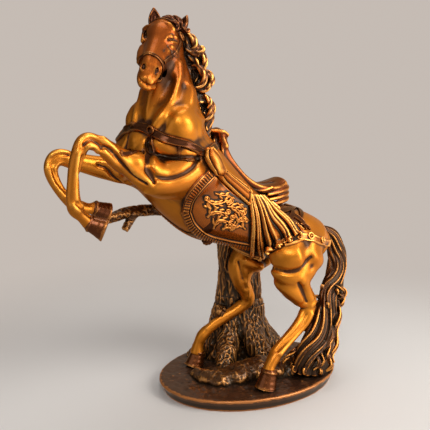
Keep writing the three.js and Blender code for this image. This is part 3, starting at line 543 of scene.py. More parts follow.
# Forelegs: tendons, knees and fetlocks
muscle([(150, 183), (134, 172), (118, 155), (104, 139)], 4.4, 2.2, 5)
muscle([(146, 191), (128, 183), (113, 166), (101, 151), (90, 145)], 5, 2.2, 5)
valley([(147, 184), (139, 180), (126, 168), (111, 150), (104, 146)], 3.0, 4.2, 3)
valley([(126, 186), (116, 180), (107, 168), (98, 153)], 2.6, 3.4, 3)
valley([(83, 146), (86, 141), (92, 139), (98, 143), (102, 149)], 2.8, 4.2, 3)
muscle([(86, 150), (89, 146), (94, 147), (98, 152)], 2.4, 1.4, 2)
valley([(87, 153), (91, 150), (95, 154)], 2.0, 2.4, 2)
muscle([(78, 152), (77, 175), (77, 200)], 3.0, 0.8, 3.5)
valley([(83, 156), (81, 178), (82, 200)], 2.4, 3.0, 2.5)
muscle([(73, 206), (78, 209), (83, 207)], 5, 1.4, 4)
valley([(76, 203), (83, 206), (87, 213), (93, 218)], 2.4, 2.8, 2.5)
muscle([(52, 155), (58, 152), (68, 152)], 4, 1.2, 4)
valley([(50, 168), (53, 159), (60, 155), (70, 155)], 2.6, 3.6, 2.5)
valley([(54, 166), (58, 161), (66, 160)], 2.0, 2.6, 2)
muscle([(47, 168), (53, 182), (63, 196)], 3.4, 1.2, 3.5)
valley([(53, 170), (57, 181), (65, 191)], 2.2, 2.6, 2.5)
# Haunch, stifle, gaskin and hocks
muscle([(276, 252), (287, 257), (298, 257)], 18, 5, 12)
muscle([(274, 272), (286, 279), (300, 279)], 11, 3, 8)
valley([(308, 244), (306, 252), (308, 260), (313, 266)], 8, 2.2, 12)
valley([(265, 261), (275, 269), (289, 272), (302, 268), (312, 258)], 3.6, 2.8, 5)
muscle([(276, 284), (288, 292), (300, 300)], 7, 2.0, 8)
muscle([(304, 282), (309, 290), (312, 298)], 6, 1.6, 7)
valley([(298, 282), (303, 292), (307, 302)], 2.8, 2.2, 5)
muscle([(312, 289), (315, 298), (312, 306)], 4.4, 1.8, 4)
muscle([(312, 314), (304, 328), (292, 341), (281, 354)], 5, 2.6, 4)
muscle([(300, 312), (294, 326), (282, 339), (271, 351)], 4.4, 1.6, 4)
valley([(306, 314), (300, 327), (288, 340), (277, 351)], 2, 2.0, 3)
muscle([(245, 282), (248, 292), (244, 302)], 4.4, 1.8, 4)
muscle([(236, 300), (222, 314), (207, 328)], 4, 1.2, 4)
valley([(238, 262), (242, 276), (246, 288)], 3, 2.4, 5)
# Belly line, sheath and flank
muscle([(246, 262), (255, 265), (262, 267)], 8, 3.5, 6)
valley([(254, 257), (261, 261), (266, 268), (271, 277)], 3.4, 3.4, 6)
horse.soften(1)


# Head: jowls, nose bone, brows and cheek bones, then the eye, the chin and the lips
for s in (1, -1):
    horse.egg(in_head(s * 13, -19, 38), (7.4, 15, 18), FACE, 6)
horse.swell([in_head(0, 6.4, 26), in_head(0, 7, 55), in_head(0, 6, 88)], (6, 5, 4.6), 8)
for s in (1, -1):
    horse.groove([in_head(s * 22, 10, 38), in_head(s * 20.5, 6, 48), in_head(s * 17, 4, 60)], (3.4, 4, 3), 5)
    horse.swell([in_head(s * 9, 11.5, 17), in_head(s * 14, 10.5, 19), in_head(s * 18.5, 6, 23)], (2, 2.6, 2), 4)
    horse.swell([in_head(s * 17.5, -4, 42), in_head(s * 14.5, -2.5, 56), in_head(s * 12.5, -1.5, 68)],
                (2.8, 2.6, 1.8), 4)
    horse.groove([in_head(s * 8.5, 13, 80), in_head(s * 11.5, 9, 92)], (2, 3), 4)
horse.swell([in_head(17, 3, 50), in_head(16, 4, 60), in_head(13.5, 5, 74)], (4, 4.6, 4), 7)
horse.swell([in_head(18, 9, 21), in_head(19.6, 7, 29), in_head(19, 5.5, 38)], (3, 2.4, 2.4), 4)
horse.egg(in_head(-19.5, 4.5, 35), (4.2, 4.4, 6), FACE, 1.5, hollow=True)
horse.egg(in_head(-15.5, 2.5, 35), (4.4, 3.8, 4.2), FACE, 0.6)
horse.egg(in_head(0, 1.5, 108), (7.4, 5.8, 6), FACE, 4)
horse.egg(in_head(0, -12, 101), (7.4, 6.0, 9.5), FACE, 3.5)
# Lids and folds of skin round the near eye, then the mouth, nostrils and lips
seen = Seen(*horse.mesh(2))
muscle([(165.5, 40), (168, 36.5), (172, 35.5), (177, 38)], 1.6, 0.9, 1.4)
valley([(168, 40), (172, 39.3), (177, 41)], 1.4, 1.4, 1.0)
muscle([(168, 43), (172, 42), (177, 43)], 1.6, 1.1, 1.2)
valley([(168, 46.5), (171.5, 51), (172.5, 57)], 1.7, 1.1, 1.4)
muscle([(172, 46.5), (175.5, 50), (176.5, 55)], 1.9, 0.8, 1.4)
muscle([(141.5, 28), (144, 26), (149, 25.5)], 2.2, 1.0, 2)
valley([(144.6, 31), (144.8, 35), (146, 39.5)], 3.2, 4.2, 1.4)
valley([(139, 78), (143, 83), (149, 86.5), (155, 85), (160, 79)], 2.0, 2.0, 1.2)
muscle([(161, 67), (160, 73), (155, 79), (151, 83)], 1.8, 1.4, 1.4)
muscle([(141, 84), (147, 89), (154, 88)], 3.0, 1.2, 2.5)
for nostril in ([(159, 68), (157.5, 71), (155.5, 74)], [(143, 64), (142.5, 67), (143.5, 69)]):
    valley(nostril, 2.6, 3.6, 1.2)
muscle([(140, 62.5), (140, 67), (142, 71.5)], 1.5, 0.9, 1.2)
valley([(146, 80), (147, 86)], 1.2, 0.8, 1.2)

horse_points, horse_quads = horse.mesh()
seen = Seen(horse_points, horse_quads)

# Each quad belongs to the casting whose loft is nearest
centres = horse_points[horse_quads].mean(1)
cell = np.clip(np.rint(centres / SKIN_STEP).astype(int) - horse.first, 0, np.array(horse.label.shape) - 1)
casting_of = horse.label[cell[:, 0], cell[:, 1], cell[:, 2]]


def vertex_normals(points, faces):
    """Each point's normal, as the sum of those of the faces round it."""
    total = np.zeros_like(points)
    corners = points[faces]
    normal = np.cross(corners[:, 2] - corners[:, 0], corners[:, -1] - corners[:, 1])
    for k in range(faces.shape[1]):
        for axis in range(3):
            total[:, axis] += np.bincount(faces[:, k], normal[:, axis], len(points))
    return unit(total)


horse_normals = vertex_normals(horse_points, horse_quads)

# Every piece waits in this list until the patina and painted shade are known
pieces = []


def piece(name, shape, paint, slot, nodes, normals=None, carving_and_shade=0.0, skin=None):
    """Notes a piece: its points and faces, the lacquer on it, its slot and the CAD nodes that it stands for.
    The carving value tells how far fine carving stands out, which the patina's grid is too coarse to see, with
    painted shade given as carving below the form, and `skin` tells which places of the sculpted horse its points are."""
    pieces.append({
        "name": name, "points": np.asarray(shape[0], float), "paint": paint, "slot": slot, "nodes": nodes,
        "faces": [np.asarray(part, int) for part in shape[1:] if len(part)],
        "normals": normals, "carving_and_shade": carving_and_shade, "skin": skin})


def casting(number):
    """One casting's share of the sculpted skin, closed where it meets its neighbours."""
    faces = horse_quads[casting_of == number]
    edges = np.vstack([faces[:, [k, (k + 1) % 4]] for k in range(4)])
    code = edges[:, 0].astype(np.int64) * len(horse_points) + edges[:, 1]
    back = edges[:, 1].astype(np.int64) * len(horse_points) + edges[:, 0]
    rim = edges[~np.isin(back, code)]
    points, normals, tris = horse_points, horse_normals, []
    # One closing fan for each run of rim edges that lie together
    left = list(range(len(rim)))
    middle = points[rim].mean(1)
    while left:
        away = np.linalg.norm(middle[left] - middle[left[0]], axis=1)
        group = [edge for edge, gap in zip(left, away) if gap < RIM_GAP]
        left = [edge for edge, gap in zip(left, away) if gap >= RIM_GAP]
        hub = len(points)
        points = np.vstack([points, middle[group].mean(0)])
        normals = np.vstack([normals, [[0, 0, 1]]])
        tris += [(b, a, hub) for a, b in rim[group]]
    tris = np.array(tris, int).reshape(-1, 3)
    used, place = np.unique(np.concatenate([faces.ravel(), tris.ravel()]), return_inverse=True)
    quads = place[:faces.size].reshape(-1, 4)
    tris = place[faces.size:].reshape(-1, 3)
    return (points[used], quads, tris), normals[used], np.minimum(used, len(horse_points))


# Painted shade in the eye sockets, the nostrils and under the jaw: pixel, reach and strength
SHADE_SPOTS = [
    (144.4, 33, 3.2, 0.5), (145.4, 37.5, 2.8, 0.45), (143.3, 67, 2.4, 0.3), (157.3, 71, 2.6, 0.3),
    (172, 40, 2.2, 0.22), (172, 53, 2.6, 0.2), (167, 60, 5, 0.24), (168, 67, 5, 0.28), (163, 73, 4, 0.28),
    (161, 78, 3, 0.2),
]


def painted_shade(points):
    """The painted shade on each point, given as carving that lies below the form."""
    depth = np.zeros(len(points))
    for px, py, reach, strength in SHADE_SPOTS:
        depth += strength * np.exp(-np.sum((points - seen.at(px, py)) ** 2, 1) / reach ** 2)
    return -depth


for number, name in enumerate(CASTINGS):
    shape, normals, skin = casting(number)
    upper_part = name in ("neck", "head")
    # The neck and head take painted shade in the eye sockets, the nostrils and under the jaw
    piece("cast_" + name, shape, "coat", "copper_lacquer" if upper_part else "gold_lacquer", [name], normals,
          carving_and_shade=painted_shade(shape[0]) if upper_part else 0.0, skin=skin)


# Cloth and straps: a shell on the skin whose outer face stands by a height
def shell(outer_points, normals, height, sunk_by=1.2):
    """A closed shell over a grid of skin places, its inner face sunk below them."""
    nu, nv = height.shape
    top = outer_points + normals * height[..., None]
    bottom = outer_points - normals * sunk_by
    points = np.vstack([top.reshape(-1, 3), bottom.reshape(-1, 3)])
    index = np.arange(nu * nv).reshape(nu, nv)
    a, b, c, d = index[:-1, :-1], index[1:, :-1], index[1:, 1:], index[:-1, 1:]
    face = np.stack([v.ravel() for v in (a, b, c, d)], 1)
    ring = np.concatenate([index[:-1, 0], index[-1, :-1], index[:0:-1, -1], index[0, :0:-1]])
    after = np.roll(ring, -1)
    half = nu * nv
    wall = np.stack([ring, ring + half, after + half, after], 1)
    quads = np.vstack([face, face[:, ::-1] + half, wall])
    corner = points[face[len(face) // 2]]
    if np.dot(np.cross(corner[1] - corner[0], corner[3] - corner[0]), normals[nu // 2, nv // 2]) < 0:
        quads = quads[:, ::-1]
    return points, quads, NO_TRIS


def outer_only(stands):
    """The carving of a shell's outer face, with none on its inner face."""
    return np.concatenate([stands.ravel(), np.zeros(stands.size)])


def ridge(x, centre, width):
    """A smooth ridge, 1 high at its centre."""
    return np.exp(-((x - centre) / width) ** 2)


def strap(line, width, height, across=9, welt=0.35, edge=None):
    """A strap along skin places: a flat band whose two edges stand up as welts. `edge` shares out its width."""
    line = np.asarray(line, float)
    length = np.linalg.norm(np.diff(line, axis=0), axis=1).sum()
    count = max(8, int(length / STRAP_STEP))
    middle, normal = horse.settle(course(line, count))
    side = unit(np.cross(np.gradient(middle, axis=0), normal))
    share = np.linspace(-1, 1, across)
    wide = width / 2 * (edge(np.linspace(0, 1, count)) if edge else np.ones(count))
    grid = middle[:, None] + side[:, None] * (wide[:, None] * share[None])[..., None]
    grid, normals = horse.settle(grid)
    profile = height * (0.72 + 0.28 * np.cos(share * math.pi / 2)) + welt * ridge(np.abs(share), 0.82, 0.13)
    profile = np.where(np.abs(share) > 0.99, height * 0.45, profile)
    return shell(grid, normals, np.tile(profile, (count, 1)))


def hoop(centre, out, height, size, thick, across=(0, 0, 1), sides=8, count=36):
    """A ring that lies on the skin round a spot, at a height over it."""
    side = unit(np.cross(out, across))
    up = np.cross(side, out)
    angle = np.linspace(0, 2 * math.pi, HOOP_POINTS)
    places = centre + out * height + size * (np.outer(np.cos(angle), side) + np.outer(np.sin(angle), up))
    return strand(places, [thick] * HOOP_POINTS, sides, count)


def coons(left, right, bottom, top, nu, nv):
    """Fills four border lines, all in the same two coordinates, with a grid (nu, nv, 2)."""
    u = np.linspace(0, 1, nu)[:, None, None]
    v = np.linspace(0, 1, nv)[None, :, None]
    low, high = (through(e, np.linspace(0, 1, nu))[:, None] for e in (bottom, top))
    near, far = (through(e, np.linspace(0, 1, nv))[None] for e in (left, right))
    flat = (1 - v) * low + v * high + (1 - u) * near + u * far
    corners = ((1 - u) * (1 - v) * low[0, 0] + u * (1 - v) * low[-1, 0]
               + (1 - u) * v * high[0, 0] + u * v * high[-1, 0])
    return flat - corners


def patch(borders, nu, nv, mirrored):
    """Skin places and normals behind a patch of the picture with four border lines, or those of its twin on the
    body's other side, which is laid out in shares along the torso and degrees round it."""
    if mirrored:
        spots = coons(*(np.array([torso.spot(seen.at(*p)) for p in line]) for line in borders), nu, nv)
        return horse.settle(torso.point(spots[..., 0], 180 - spots[..., 1]))
    return horse.settle(np.array([seen.line(row) for row in coons(*borders, nu, nv)]))


def spans(points):
    """How far each grid point lies along both of the grid's ways, in millimetres."""
    rows, columns = points.shape[:2]
    along = np.linalg.norm(np.diff(points, axis=0), axis=2).cumsum(0)
    across = np.linalg.norm(np.diff(points, axis=1), axis=2).cumsum(1)
    return np.vstack([np.zeros((1, columns)), along]), np.hstack([np.zeros((rows, 1)), across])


# Saddle blanket: ribbed border, piping and a panel of generic scrolls and leaves, set out in the picture's pixels
def leaf(x, y, angle, length, bend, width):
    """A curved leaf: places, each with its radius and its height."""
    t = np.linspace(0, 1, LEAF_POINTS)
    way = angle + bend * t
    step = length / (LEAF_POINTS - 1)
    return np.stack([x + np.cumsum(np.cos(way)) * step, y + np.cumsum(np.sin(way)) * step,
                     width * np.sin(math.pi * (0.16 + 0.78 * t)), 0.8 + 0 * t], 1)


def spray(stem, pairs, length, hand):
    """A stem with leaves in pairs along it and a rolled end."""
    t = np.linspace(0, 1, STEM_POINTS)
    line = through(stem, t)
    strokes = [np.column_stack([line, 1.15 - 0.35 * t, 1.0 + 0 * t])]
    way = np.arctan2(*np.gradient(line, axis=0).T[::-1])
    for k in range(pairs):
        i = int((k + 0.6) / pairs * (STEM_POINTS - 1))
        for side in (1, -1):
            strokes.append(leaf(*line[i], way[i] + side * 0.95, length * (1.1 - 0.4 * t[i]), -side * 0.9, 1.35))
    turn = way[-1] + hand * np.linspace(0, 8.5, ROLL_POINTS)
    reach = ROLL * (1 - np.linspace(0, 0.8, ROLL_POINTS))
    centre = line[-1] + ROLL * np.array([-hand * math.sin(way[-1]), hand * math.cos(way[-1])])
    roll = centre + np.stack([hand * np.sin(turn) * reach, -hand * np.cos(turn) * reach], 1)
    return strokes + [np.column_stack([roll, 0.85 + 0 * turn, 1.0 + 0 * turn])]


# Each stem's course, its pairs of leaves, their length, and the hand of its rolled end
STEMS = [
    ([(205, 199), (211, 203), (218, 203), (226, 200)], 4, 6.5, 1),
    ([(207, 216), (212, 211), (219, 211), (226, 213)], 4, 6.5, -1),
    ([(213, 227), (216, 220), (222, 219), (230, 222)], 4, 6, 1),
    ([(227, 206), (233, 207), (238, 211), (242, 217)], 4, 6.5, 1),
    ([(215, 193), (221, 195), (227, 195), (231, 199)], 3, 5, 1),
    ([(231, 229), (235, 224), (237, 219), (233, 215)], 3, 5.5, -1),
    ([(244, 228), (241, 224), (242, 219)], 2, 4.5, 1),
    ([(209, 208), (206, 204), (208, 199)], 2, 4, -1),
    ([(222, 228), (226, 226), (231, 228)], 2, 4, -1),
    ([(236, 203), (240, 206), (244, 210)], 2, 4, 1),
]
motif = np.vstack([stroke for stem in STEMS for stroke in spray(*stem)])


def relief(x, y):
    """How far the scrolls and leaves stand out at a place, from 0 to 1."""
    height = np.zeros_like(x)
    for px, py, r, top in motif:
        gap = (x - px) ** 2 + (y - py) ** 2
        height = np.maximum(height, np.sqrt(np.maximum(1 - gap / (r * r), 0)) * top)
    return height


def blanket(mirrored):
    """The cloth's left or right half as a closed shell, and how far its carving stands out, with a painted shadow on
    the ground beside each leaf.
    """
    front = [(207, 170), (195, 182), (185, 196), (181, 212)]
    bottom = [(181, 212), (188, 228), (203, 241), (225, 248), (252, 253)]
    top = [(207, 170), (218, 180), (232, 193), (250, 204)]
    rear = [(250, 204), (250, 220), (251, 236), (252, 253)]
    borders = (front, rear, top, bottom)
    nu, nv = ((200, 170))
    pixels = coons(*borders, nu, nv)
    points, normals = patch(borders, nu, nv, mirrored)
    outline = np.vstack([through(front, np.linspace(0, 1, 200)), through(bottom, np.linspace(0, 1, 360))])
    run = np.concatenate([[0], np.linalg.norm(np.diff(outline, axis=0), axis=1).cumsum()])
    gaps = np.array([np.linalg.norm(row[:, None] - outline[None], axis=2) for row in pixels])
    edge = gaps.min(2)
    run = run[gaps.argmin(2)]
    inside = edge - BORDER
    border = np.clip((BORDER - edge) / 0.6, 0, 1)
    ribs = np.abs(np.sin(run * math.pi / RIB)) ** 0.8
    ribs = ribs * np.clip((edge - 1.4) / 0.6, 0, 1) * np.clip((BORDER - 0.8 - edge) / 0.6, 0, 1)
    piping = ridge(inside, 0.3, 0.55) + 0.7 * ridge(edge, 0.7, 0.5)
    seam = ridge(inside, 1.6, 0.6) + ridge(inside, -1.0, 0.4)
    x, y = pixels[..., 0], pixels[..., 1]
    carving = relief(x, y) * np.clip((inside - 1.5) / 1.5, 0, 1)
    # A painted shadow darkens the ground on one side of each leaf
    lit_ground = np.clip(1.0 - np.abs(np.minimum(relief(x + 1.6, y + 1.6), 1) - carving), 0, 1)
    height = 1.8 + border * (0.5 + 1.2 * ribs) + 1.3 * piping - 0.9 * seam + 2.6 * carving
    height = height * np.clip(edge, 0.3, 1)
    stands = 0.16 * carving ** 2 + 0.07 * piping - 0.12 * seam + border * (0.13 * ribs - 0.11)
    # The painted shadow lowers the ground's carving beside each leaf, so the lacquer darkens there
    stands = stands - 0.10 * (1 - lit_ground) * (carving < 0.25)
    return shell(points, normals, height), outer_only(stands)


for side, mirrored in SIDES:
    cloth, stands = blanket(mirrored)
    piece("blanket_" + side, cloth, "blanket", "copper_lacquer", ["saddle_blanket"], carving_and_shade=stands)


# Saddle seat: a waisted twist between a flat-topped pommel and a cantle of three stacked rolls. Its loft runs to
# the rear, so its over side faces down: 270 degrees is the seat's top line and a station's last reach goes up.
seat = Loft([
    (-76, -38, 386, 10, 16, 4), (-67, -36, 382, 12, 24, 5.5), (-64.5, -35, 370, 15, 24, 6.5),
    (-59, -33, 357, 19, 24, 7), (-51, -31, 345, 23, 22, 7), (-41, -29, 333, 27, 20, 7), (-27, -26, 323, 30, 17, 6.5),
    (-9, -22, 316.5, 31, 14, 6.5), (9.5, -19, 315, 30, 13, 8), (24, -17, 316, 28, 13, 9), (40, -16, 321, 23, 13, 9),
], turn=(14, 12), dome=(4, 5))
seat_clay = Clay((-105, -85, 275), (75, 45, 412), FINE_STEP, 8)
seat_clay.add(seat.shape(70, 48))
t = np.linspace(0.05, 0.96, SEAT_RIM)
far_rim = seat.point(t, 25 - 36 * np.clip((t - 0.66) / 0.3, 0, 1), 0.4)
seat_clay.add(strand(far_rim, [2.0] * SEAT_RIM, 10), 0.6)
for hand in (1, -1):
    seat_clay.groove(seat.point(np.linspace(0.3, 0.86, 22), 270 - hand * 22, 2.6), 4.0, 5.0)
# The near side's two rims, each beside a groove, run where the picture shows them
seat_seen = Seen(*seat_clay.mesh())
outer_rim = [(222, 142), (223, 154), (227, 165), (235, 175), (245, 185), (255, 190), (265, 190), (273, 187)]
pommel_rim = [(216, 141), (219, 151), (221, 161), (224, 168)]
for pixels, thick in ((outer_rim, 1.9), (pommel_rim, 1.5)):
    beside = [(px - 2.6, py + 2.2) for px, py in pixels]
    seat_clay.groove(course(seat_seen.line(beside), SEAT_RIM), 1.9, 1.5)
    seat_clay.add(strand(course(seat_seen.line(pixels), SEAT_RIM), [thick] * SEAT_RIM, 10), 0.8)
CANTLE = np.array([(5, -46, 305), (25, -42, 308), (42, -34, 312), (51, -20, 314), (53, -6, 314), (47, 8, 313),
                   (30, 18, 310), (8, 22, 306)])
for drop in (0.0, 8.0, 16.0):
    seat_clay.add(strand(CANTLE - [0, 0, drop], [2.2, 3.6, 4.6, 4.8, 4.8, 4.6, 3.6, 2.2], 14, 60), 0.8)
# The pommel: a flat head on a narrower stem, flared to the rear, with a hollow below its front
pommel_head = Loft([
    (-86, -36, 397, 11, 5, 2.8), (-77, -37, 396.5, 14, 6, 2.8), (-67, -39, 394.5, 14, 6, 2.8),
    (-59, -41, 390, 10, 4, 2.2),
], turn=(14, 14), dome=(2.5, 2.5))
seat_clay.add(pommel_head.shape(20, 30), 5)
for stem, radii, blend in (([(-73, -36, 394), (-70, -36, 388), (-66, -36, 380)], (8, 8.5, 9), 5),
                           ([(-70, -46, 393), (-68, -47, 386), (-64, -48, 376)], (4.5, 4.5, 4.5), 4),
                           ([(-70, -26, 393), (-68, -25, 386), (-64, -24, 376)], (4.5, 4.5, 4.5), 4)):
    seat_clay.swell(stem, radii, blend)
hollow_line = [at_depth(px, py, seat.point(share, 150))
               for px, py, share in ((216.5, 139, 0.05), (216.5, 148, 0.15), (219.5, 158, 0.28))]
for toward in (2.0, 4.0):
    seat_clay.groove(np.array([place - FORWARD * toward for place in hollow_line]), (2.6, 3.2, 1.6), 2.0)
seat_clay.soften(1)
piece("seat_shell", seat_clay.mesh(), "saddle", "bronze_lacquer", ["saddle_seat"])


def flap(mirrored):
    """A saddle flap: a padded panel from the seat's skirt down to a bold rim on the blanket."""
    low = seen.line([(203, 151), (204, 160), (210, 170), (220, 181), (233, 193), (247, 205)])
    high = seen.line([(208, 151), (214, 159), (221, 167), (229, 175), (238, 182), (247, 189)])
    if mirrored:
        low, high = other_side(torso, low), other_side(torso, high)
    nu, nv = 130, 60
    v = np.linspace(0, 1, nv)[None, :, None]
    grid = course(low, nu)[:, None] * (1 - v) + course(high, nu)[:, None] * v
    grid, normals = horse.settle(grid, 5.0, 7)
    along, across = spans(grid)
    rear = along[-1:] - along
    wide = across[:, -1:]
    padding = np.sin(math.pi * np.clip((across - 4) / (wide - 6), 0, 1)) ** 0.7
    rim = ridge(across, 1.8, 1.3) + ridge(along, 1.8, 1.3) + 0.8 * ridge(rear, 1.5, 1.1)
    seam = ridge(across, 4.8, 1.1) + 0.6 * ridge(rear, 4.4, 1.0) + 1.2 * ridge(wide - across, 2.5, 2.0)
    # A welt runs down the panel, and a shallow valley beside it
    welt = ridge(across / wide, 0.70, 0.05) - 0.9 * ridge(across / wide, 0.56, 0.07)
    height = 0.6 + 2.6 * padding + 1.8 * rim - 1.5 * seam + 0.9 * welt
    return shell(grid, normals, height, 3.6), outer_only(0.12 * rim - 0.16 * seam + 0.08 * welt)


for side, mirrored in SIDES:
    panel, stands = flap(mirrored)
    piece("flap_" + side, panel, "flap", "bronze_lacquer", ["saddle_flaps"], carving_and_shade=stands)


def drape(mirrored):
    """A drape of pleats that fan out from a gather, with curled ends."""
    gather = [(247, 194), (252, 195), (257, 196), (264, 197)]
    hem = [(250, 251), (262, 255), (276, 250), (289, 242), (303, 230)]
    front = [(247, 194), (248, 210), (249, 230), (250, 251)]
    rear = [(264, 197), (275, 206), (289, 217), (303, 230)]
    nu, nv = 150, 80
    points, normals = patch((front, rear, gather, hem), nu, nv, mirrored)
    u = np.linspace(0, 1, nu)[:, None]
    v = np.linspace(0, 1, nv)[None, :]
    swing = u + 0.018 * np.sin(3 * math.pi * v + 5 * u) + 0.02 * np.sin(2 * math.pi * 2.3 * u)
    phase = (PLEATS * swing) % 1.0
    pleat = np.sqrt(np.maximum(1 - (2.5 * phase - 1.25) ** 2, 0))
    notch = ridge(phase - 0.36, 0.1 * np.sin(9 * u), 0.07)
    height = 2.6 - 1.8 * v + (3.0 + 6.8 * v) * pleat * (1 - 0.2 * u + 0.16 * np.sin(17 * u))
    height = height - notch * (0.8 + 1.6 * v)
    clay = Clay(points.reshape(-1, 3).min(0) - 14, points.reshape(-1, 3).max(0) + 14, FINE_STEP, 6)
    clay.add(shell(points, normals, height, -0.2))
    for k in range(PLEATS):
        i = int((k + 0.5) / PLEATS * (nu - 1))
        root = points[i, -5] + normals[i, -5] * 5
        down = unit(points[i, -1] - points[i, -12])
        curl = [root + down * along + normals[i, -1] * out
                for along, out in ((0, 0), (5, 0.5), (7.5, 3), (5, 5), (2.5, 3.6))]
        clay.add(strand(curl, [2.6, 2.6, 2.2, 1.8, 1.2], 10, 24), 1.0)
    return clay.mesh()


for side, mirrored in SIDES:
    piece("pleats_" + side, drape(mirrored), "gilt", "gold_lacquer", ["drape_" + side])

# Breast collar with its ring, hangers and lower strap, which go on round the far shoulder by places
collar_near = seen.line([(204, 153), (196, 149), (186, 144), (174, 141), (163, 138), (153, 132)])
collar_far = np.vstack([
    seen.line([(153, 132), (144, 128), (134, 127), (125, 131), (119, 138)]),
    [(-190, -6, 395), (-175, 2, 392), (-160, 6, 388), (-145, 7, 384), (-130, 3, 380), (-115, -1, 376),
     (-100, -5, 372)]])
lower_strap = np.vstack([
    seen.line([(201, 157), (190, 160), (178, 159), (165, 157), (152, 154), (146, 150), (134, 152), (122, 154)]),
    [(-208, -12, 371), (-190, 8, 368), (-175, 12, 364), (-160, 14, 361), (-145, 14, 358), (-130, 11, 356)]])
collar_parts = [
    strap(np.vstack([[[-92, -78, 374]], collar_near]), 12, 2.6, welt=0.9),
    strap(collar_far, 13, 2.8, welt=0.9), strap(lower_strap, 5.5, 1.8),
]
for top, end in (((152, 131), (152, 155)), ((179, 142), (179, 160)), ((147, 140), (147, 152))):
    middle = ((top[0] + end[0]) / 2, (top[1] + end[1]) / 2)
    collar_parts.append(strap(seen.line([top, middle, end]), 4.2, 2.2))
ring_centre, ring_out = (v[0] for v in horse.settle(seen.at(152, 130)[None]))
collar_parts.append(hoop(ring_centre, ring_out, 3.4, 4.6, 1.3, sides=10, count=40))
piece("breast_collar_straps", merged(collar_parts), "leather", "bronze_lacquer", ["breast_collar"])


# Rump band with its ring studs, and the leaf ornament on the croup
def stud(place, size):
    """A domed stud in a ring."""
    centre, out = (v[0] for v in horse.settle(place[None]))
    rows = ((1, 0.62), (3.4, 0.58), (4.6, 0.3))
    dome = Loft([(*(centre + out * height), size * share) for height, share in rows], dome=(0.5, 0.8))
    return [hoop(centre, out, 3.6, size, size * 0.28), dome.shape(6, 14)]


band_near = seen.line([(284, 243), (292, 241), (302, 237), (312, 238), (320, 241), (326, 243)])
band_far = other_side(torso, band_near)[::-1]
band_parts = [strap(np.vstack([band_near, [[130, -14, 222]], band_far]), 12, 2.6, welt=0.8)]
studs = [*seen.line([(310, 236), (321, 240)]), *other_side(torso, seen.line([(310, 236), (300, 238)]))]
small_studs = seen.line([(284, 242), (290, 241), (299, 238)])
for places, size in ((studs, 4.4), (small_studs, 3.0)):
    for place in places:
        band_parts += stud(place, size)
piece("rump_band_strap", merged(band_parts), "gilt", "gold_lacquer", ["rump_band"])


def leaf_width(t):
    return np.sin(math.pi * (0.08 + 0.88 * t)) ** 0.8


leaves = []
for pixels, width in (([(273, 212), (282, 211), (291, 209), (297, 207)], 9),
                      ([(291, 208), (292, 214), (290, 220), (295, 224)], 9),
                      ([(297, 207), (301, 213), (300, 220)], 8),
                      ([(287, 217), (294, 216), (302, 222), (306, 230)], 10),
                      ([(300, 224), (306, 226), (310, 230)], 6),
                      ([(284, 205), (290, 204), (297, 207)], 5)):
    near_line = seen.line(pixels)
    for line in (near_line, other_side(torso, near_line)):
        leaves.append(strap(line, width, 2.6, welt=0.9, edge=leaf_width))
piece("rump_leaf_ribbon", merged(leaves), "leather", "gold_lacquer", ["rump_leaf"])

# Girth with its knot under the belly
girth_line = horse.settle(torso.point(0.66, np.linspace(206, 334, 20)))[0]
knot_at = horse.settle(seen.at(206, 246)[None])[0][0]
girth_parts = [strap(girth_line, 16, 2.4)]
for k in range(5):
    tilt = k * 1.3
    loop = [knot_at + np.array([6 * math.cos(a) * math.cos(tilt), 5 * math.sin(a),
                                -2 + 4.5 * math.cos(a) * math.sin(tilt)]) for a in np.linspace(0, 2 * math.pi, 9)]
    girth_parts.append(strand(loop, [2.4] * 9, 8, 28))
piece("girth_strap", merged(girth_parts), "leather", "bronze_lacquer", ["girth"])


# Bridle on the head
def head_arc(down, start, stop, count, tilt):
    """Skin places round the head at one place down the face."""
    places = [in_head(17 * math.cos(a), -6 + 17 * math.sin(a), down + tilt * math.sin(a))
              for a in np.radians(np.linspace(start, stop, count))]
    return horse.settle(np.array(places), tries=8)[0]


bridle_parts = [strap(head_arc(79, -100, 280, 40, -2), 5.0, 1.8, across=7),
                strap(head_arc(9, 0, 180, 24, 0), 5, 1.6, across=7)]
for s in (1, -1):
    cheek = [in_head(s * side, out, down)
             for side, out, down in ((21, 2, 10), (24, -8, 24), (21, -11, 42), (17, -8, 60), (14, -4, 74))]
    bridle_parts.append(strap(horse.settle(np.array(cheek), tries=8)[0], 4.6, 1.7, across=7))
    rosette, out = (v[0] for v in horse.settle(in_head(s * 23, -7, 20)[None], tries=8))
    for size in (4.6, 2.2):
        bridle_parts.append(hoop(rosette, out, 2, size, 1.2, face_down))
piece("bridle_straps", merged(bridle_parts), "leather", "bronze_lacquer", ["bridle"])


# Ears: pointed cups with a rim and a rib inside
def ear(side, root, tip, opening):
    """An ear whose cup opens one way. Its rows are a share of its length, a half width and a depth."""
    root, tip = np.array(root, float), np.array(tip, float)
    opening = unit(opening - unit(tip - root) * (opening @ unit(tip - root)))
    clay = Clay(np.minimum(root, tip) - 14, np.maximum(root, tip) + 10, EAR_STEP, 5)
    heading = math.degrees(math.atan2(-opening[1], -opening[0]))
    rows = [(0.0, 6.8, 5.0), (0.22, 8.4, 5.2), (0.48, 8.2, 4.8), (0.72, 6.0, 3.6), (0.9, 3.2, 2.0), (1.0, 1.3, 1.0)]
    outer = Loft([(*(root + (tip - root) * t), w, d, d) for t, w, d in rows], turn=(heading, heading), dome=(3, 0.5))
    clay.add(outer.shape(30, 28))
    inner = Loft([(*(root + (tip - root) * (0.12 + 0.8 * t) + opening * 3.6), max(w - 1.5, 0.3), d, d)
                  for t, w, d in rows], turn=(heading, heading), dome=(2, 0.3))
    clay.dig(inner.shape(30, 28), 0.6)
    rib = [root + (tip - root) * t - opening * 0.8 for t in (0.1, 0.4, 0.7, 0.9)]
    clay.swell(rib, (1.6, 1.2, 0.9, 0.6), 1.5)
    piece("ear_" + side + "_cup", clay.mesh(), "ear", "bronze_lacquer", ["ear_" + side])


